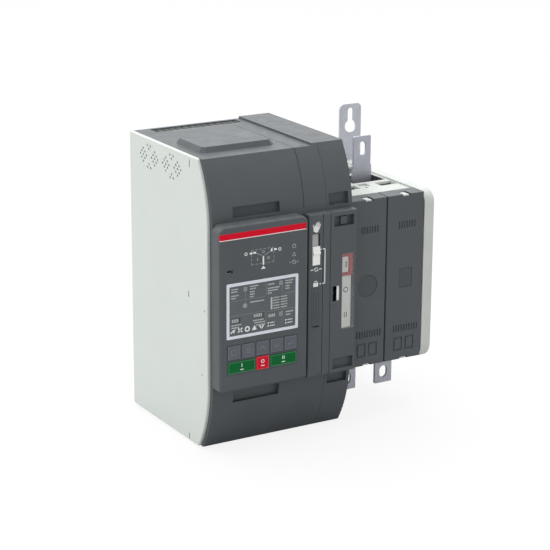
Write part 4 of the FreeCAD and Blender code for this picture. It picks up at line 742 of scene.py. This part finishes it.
def source_key_prints(name, bars):
    """Border and sign of a source key: a ring for no bars, else that many bars, over an underline."""
    key = Span(name)
    border = Marks().frame(key.x0 + 0.35, key.x1 - 0.35, key.z0 + 0.35, key.z1 - 0.35, 0.42)
    border.build(name + "_border", key.y0, name, RED_INK if bars == 0 else GREEN_INK)
    sign = Marks()
    z = key.zc + 1.6
    if bars == 0:
        sign.arc(key.xc, z, 1.5, 0.7, 0, 360, 22)
    for i in range(bars):
        x = key.xc + (i - (bars - 1) / 2) * 1.6
        sign.block(x - 0.4, x + 0.4, z - 1.6, z + 1.6)
    sign.block(key.xc - 1.9, key.xc + 1.9, key.zc - 3.1, key.zc - 2.2)
    sign.build(name + "_sign", key.y0, name, WHITE_INK)


def key_prints():
    """Outlines and signs on all keys; each print rides on its own key."""
    for index in range(5):
        name = "menu_key_%d" % (index + 1)
        key = Span(name)
        marks = menu_key_icon(index, key.xc, key.zc)
        marks.frame(key.x0 + 0.45, key.x1 - 0.45, key.z0 + 0.45, key.z1 - 0.45, 0.3)
        marks.build(name + "_print", key.y0, name, KEY_INK)
    for name, bars in (("key_source_1", 1), ("key_off", 0), ("key_source_2", 2)):
        source_key_prints(name, bars)


def hand_sign(marks, x, z, tilt, size):
    """A flat hand: rounded palm, four fingers and a thumb, leaning by tilt degrees."""
    turn = math.radians(tilt)

    def place(u, v):
        return (x + size * (u * math.cos(turn) - v * math.sin(turn)),
                z + size * (u * math.sin(turn) + v * math.cos(turn)))

    palm = ((-2.0, -2.4), (-1.2, -3.4), (1.2, -3.4), (2.0, -2.4), (2.0, 0.6), (-2.0, 0.6))
    marks.polygon([place(u, v) for u, v in palm])
    for i, length in enumerate((2.2, 3.0, 2.8, 2.0)):
        u = -1.5 + i * 1.0
        start, end = place(u, 0.5), place(u, 0.5 + length)
        marks.line(*start, *end, 0.72 * size)
        marks.disc(*end, 0.36 * size, 12)
    start, end = place(-1.7, -1.8), place(-3.3, 0.2)
    marks.line(*start, *end, 0.85 * size)
    marks.disc(*end, 0.42 * size, 12)


def selector_prints():
    """Signs by the mode slide: hand, automatic, padlock, and the bracket that joins two of them."""
    face = COLUMN.y0
    x = KNOB.xc - 0.15
    marks = Marks()
    hand_sign(marks, x + 0.9, COLUMN.z1 - 12.4, -28, 1.45)
    z = KNOB.z0 - 4.4
    loop_arrow(marks, x + 0.4, z, 1.7, 0.6)
    for side in (-1, 1):
        marks.block(x + 0.4 + side * 4.6 - 1.5, x + 0.4 + side * 4.6 + 1.5, z - 0.45, z + 0.45)
    z = TAB.z1 + 4.0
    marks.block(x - 2.7, x + 2.7, z - 2.2, z + 1.6)
    marks.arc(x, z + 1.6, 1.55, 0.75, 0, 180, 14)
    for side in (-1, 1):
        marks.block(x + side * 1.55 - 0.37, x + side * 1.55 + 0.37, z + 1.5, z + 2.0)
    right = COLUMN.x1 - 6.2
    upper = KNOB.z1 - 15.2
    marks.path([(right - 2.6, upper), (right, upper), (right, z), (right - 2.6, z)], 0.95)
    for dot_z in (upper, z):
        marks.disc(right - 4.9, dot_z, 0.75, 16)
    marks.build("selector_signs", face, "enclosure", WHITE_INK)


def scale_prints():
    """Position signs on the white strip: one bar, ring, two bars, from the top."""
    middle = (POINTER.z0 + POINTER.z1) / 2
    pitch = 25.13               # mm from one position of the pointer to the next
    marks = Marks()
    x = SCALE.x0 + 5.2
    marks.block(x - 0.45, x + 0.45, middle - 2.6, middle + 2.6)
    for dz in (-2.6, 2.2):
        marks.block(x - 1.2, x + 1.2, middle + dz, middle + dz + 0.4)
    marks.arc(x, middle - pitch, 2.3, 0.8, 0, 360, 28)
    for dx in (-1.2, 1.2):
        marks.block(x + dx - 0.4, x + dx + 0.4, middle - 2 * pitch - 2.6, middle - 2 * pitch + 2.6)
    marks.build("indicator_signs", SCALE.y0, "enclosure", DARK_INK)


def cover_pocket_shades():
    """Smooth darker sheets in the shallow pockets of the two pole covers: painted shade of the pockets."""
    material = moulded("pocket_shade_plastic", shade(DARK, 0.82), 0.4, depth_mm=0.004, specular=0.3)
    first, second = Span("pole_1_cover"), Span("pole_2_cover")
    pocket_depth, thickness = 0.5, 0.2
    # painted shade: each pocket is filled with a darker sheet where the pocket lies in shade
    round_pocket_shade = Marks().disc(first.x0 + 21.3, -2.4, 10.7, 48)
    round_pocket_shade.build("pole_1_cover_pocket_shade", first.y0 + pocket_depth, "enclosure", material, thickness)
    square_pocket_shade = Marks().block(second.x0 + 15.0, second.x0 + 29.5, -9.7, 9.2)
    square_pocket_shade.build("pole_2_cover_pocket_shade", second.y0 + pocket_depth, "enclosure", material, thickness)


# ------------------------------------------------------------------ stage
VIEW_YAW = 30.63            # degrees the camera stands round to the left
VIEW_PITCH = 16.77          # degrees it looks down
VIEW_ROLL = 0.34
VIEW_DISTANCE = 1.9
AIM_OFFSET = Vector((-7.1, 22.1, -9.4)) * MM    # aim point from the middle of the object's box
LENS = 125.1
SKY_FRONT = 0.75            # brightness of the surroundings ahead of the object
SKY_BACK = 1.6              # and behind it
SKY_TURN = (-0.5, 0.75)     # where between front and back the brightness changes
FLOOR_HALF = 9.0            # metres from the middle of the floor to its edges
FLOOR_GAP = 0.4             # mm between the floor and the object
FLOOR_GLOW = 0.88           # share of the floor's own light in what the camera sees
TOP_SOFTBOX = {"offset": (-0.2, 0.3, 1.7), "size": 2.4, "power": 24}
LEFT_SOFTBOX = {"offset": (-2.2, -0.4, 0.6), "size": 1.8, "power": 2.5}


def stage_floor():
    """A pale floor; rays that are not the camera's see it darker, so it bounces less light."""
    mesh = bpy.data.meshes.new("floor")
    half = FLOOR_HALF
    z = CAD_BOX[0][2] - FLOOR_GAP * MM
    corners = [(-half, -half, z), (half, -half, z), (half, half, z), (-half, half, z)]
    mesh.from_pydata(corners, [], [(0, 1, 2, 3)])
    floor = bpy.data.objects.new("floor", mesh)
    bpy.context.scene.collection.objects.link(floor)
    t = Tree("floor_paint")
    tone = t.mix(t.ramp(t.noise(600, 3), 0.3, 0.7), rgb(247, 247, 247), rgb(250, 250, 250))
    tone = t.mix(t.add("LightPath").outputs["Is Camera Ray"], rgb(196, 196, 196), tone)
    material = t.finish(tone, 0.75, normal=t.bump(t.noise(3, 2), 0.02))
    # for the camera most of the floor's brightness is a glow of its own, which keeps shadows faint
    painted_floor = t.output.inputs[0].links[0].from_socket
    glow = t.add("Emission", Color=rgb(252, 252, 252))
    share = t.maths("MULTIPLY", t.add("LightPath").outputs["Is Camera Ray"], FLOOR_GLOW)
    mixed = t.add("MixShader", Fac=share)
    t.links.new(painted_floor, mixed.inputs[1])
    t.links.new(glow.outputs[0], mixed.inputs[2])
    t.links.new(mixed.outputs[0], t.output.inputs[0])
    mesh.materials.append(material)


def softbox(name, middle, offset, size, power):
    """A square light that stands off the object's middle and faces it."""
    place = middle + Vector(offset)
    data = bpy.data.lights.new(name, "AREA")
    data.shape = "RECTANGLE"
    data.size = size
    data.size_y = size
    data.energy = power
    light = bpy.data.objects.new(name, data)
    bpy.context.scene.collection.objects.link(light)
    light.location = place
    light.rotation_euler = (middle - place).to_track_quat("-Z", "Y").to_euler()


def stage_lights(middle):
    softbox("top_softbox", middle, **TOP_SOFTBOX)
    softbox("left_softbox", middle, **LEFT_SOFTBOX)


def stage_world():
    """White for the camera; for light, bright behind and overhead and dim in front."""
    world = bpy.data.worlds.new("studio")
    world.use_nodes = True
    tree = world.node_tree
    nodes, links = tree.nodes, tree.links
    back = nodes["Background"]
    coords = nodes.new("ShaderNodeTexCoord")
    split = nodes.new("ShaderNodeSeparateXYZ")
    links.new(coords.outputs["Generated"], split.inputs[0])
    behind = nodes.new("ShaderNodeMapRange")
    behind.interpolation_type = "SMOOTHSTEP"
    limits = {"From Min": SKY_TURN[0], "From Max": SKY_TURN[1], "To Min": SKY_FRONT, "To Max": SKY_BACK}
    for key, number in limits.items():
        behind.inputs[key].default_value = number
    links.new(split.outputs[1], behind.inputs["Value"])
    path = nodes.new("ShaderNodeLightPath")
    strength = nodes.new("ShaderNodeMix")
    links.new(path.outputs["Is Camera Ray"], strength.inputs["Factor"])
    links.new(behind.outputs[0], strength.inputs[2])
    strength.inputs[3].default_value = 1.0
    links.new(strength.outputs[0], back.inputs[1])
    back.inputs[0].default_value = (1.0, 1.0, 1.0, 1.0)
    bpy.context.scene.world = world


def stage_camera(middle):
    """The camera, placed by its angles, its distance and its aim."""
    yaw, pitch, roll = (math.radians(a) for a in (VIEW_YAW, VIEW_PITCH, VIEW_ROLL))
    forward = Vector((math.sin(yaw) * math.cos(pitch), math.cos(yaw) * math.cos(pitch), -math.sin(pitch)))
    right = Vector((math.cos(yaw), -math.sin(yaw), 0.0))
    up = right.cross(forward)
    tilted_right = right * math.cos(roll) + up * math.sin(roll)
    tilted_up = up * math.cos(roll) - right * math.sin(roll)
    data = bpy.data.cameras.new("camera")
    data.lens = LENS
    data.sensor_width = 36.0
    data.clip_end = 50.0
    camera = bpy.data.objects.new("camera", data)
    bpy.context.scene.collection.objects.link(camera)
    place = middle + AIM_OFFSET - forward * VIEW_DISTANCE
    turn = Matrix((tilted_right, tilted_up, -forward)).transposed()
    camera.matrix_world = Matrix.Translation(place) @ turn.to_4x4()
    bpy.context.scene.camera = camera


def set_stage():
    middle = (Vector(CAD_BOX[0]) + Vector(CAD_BOX[1])) / 2
    stage_floor()
    stage_lights(middle)
    stage_world()
    stage_camera(middle)
    bpy.context.scene.view_settings.view_transform = "Standard"


# ------------------------------------------------------------------ build
cover_pocket_shades()
paint_nodes()
panel_diagram()
service_port_mark()
panel_status_icons()
display_content()
key_prints()
selector_prints()
scale_prints()
set_stage()
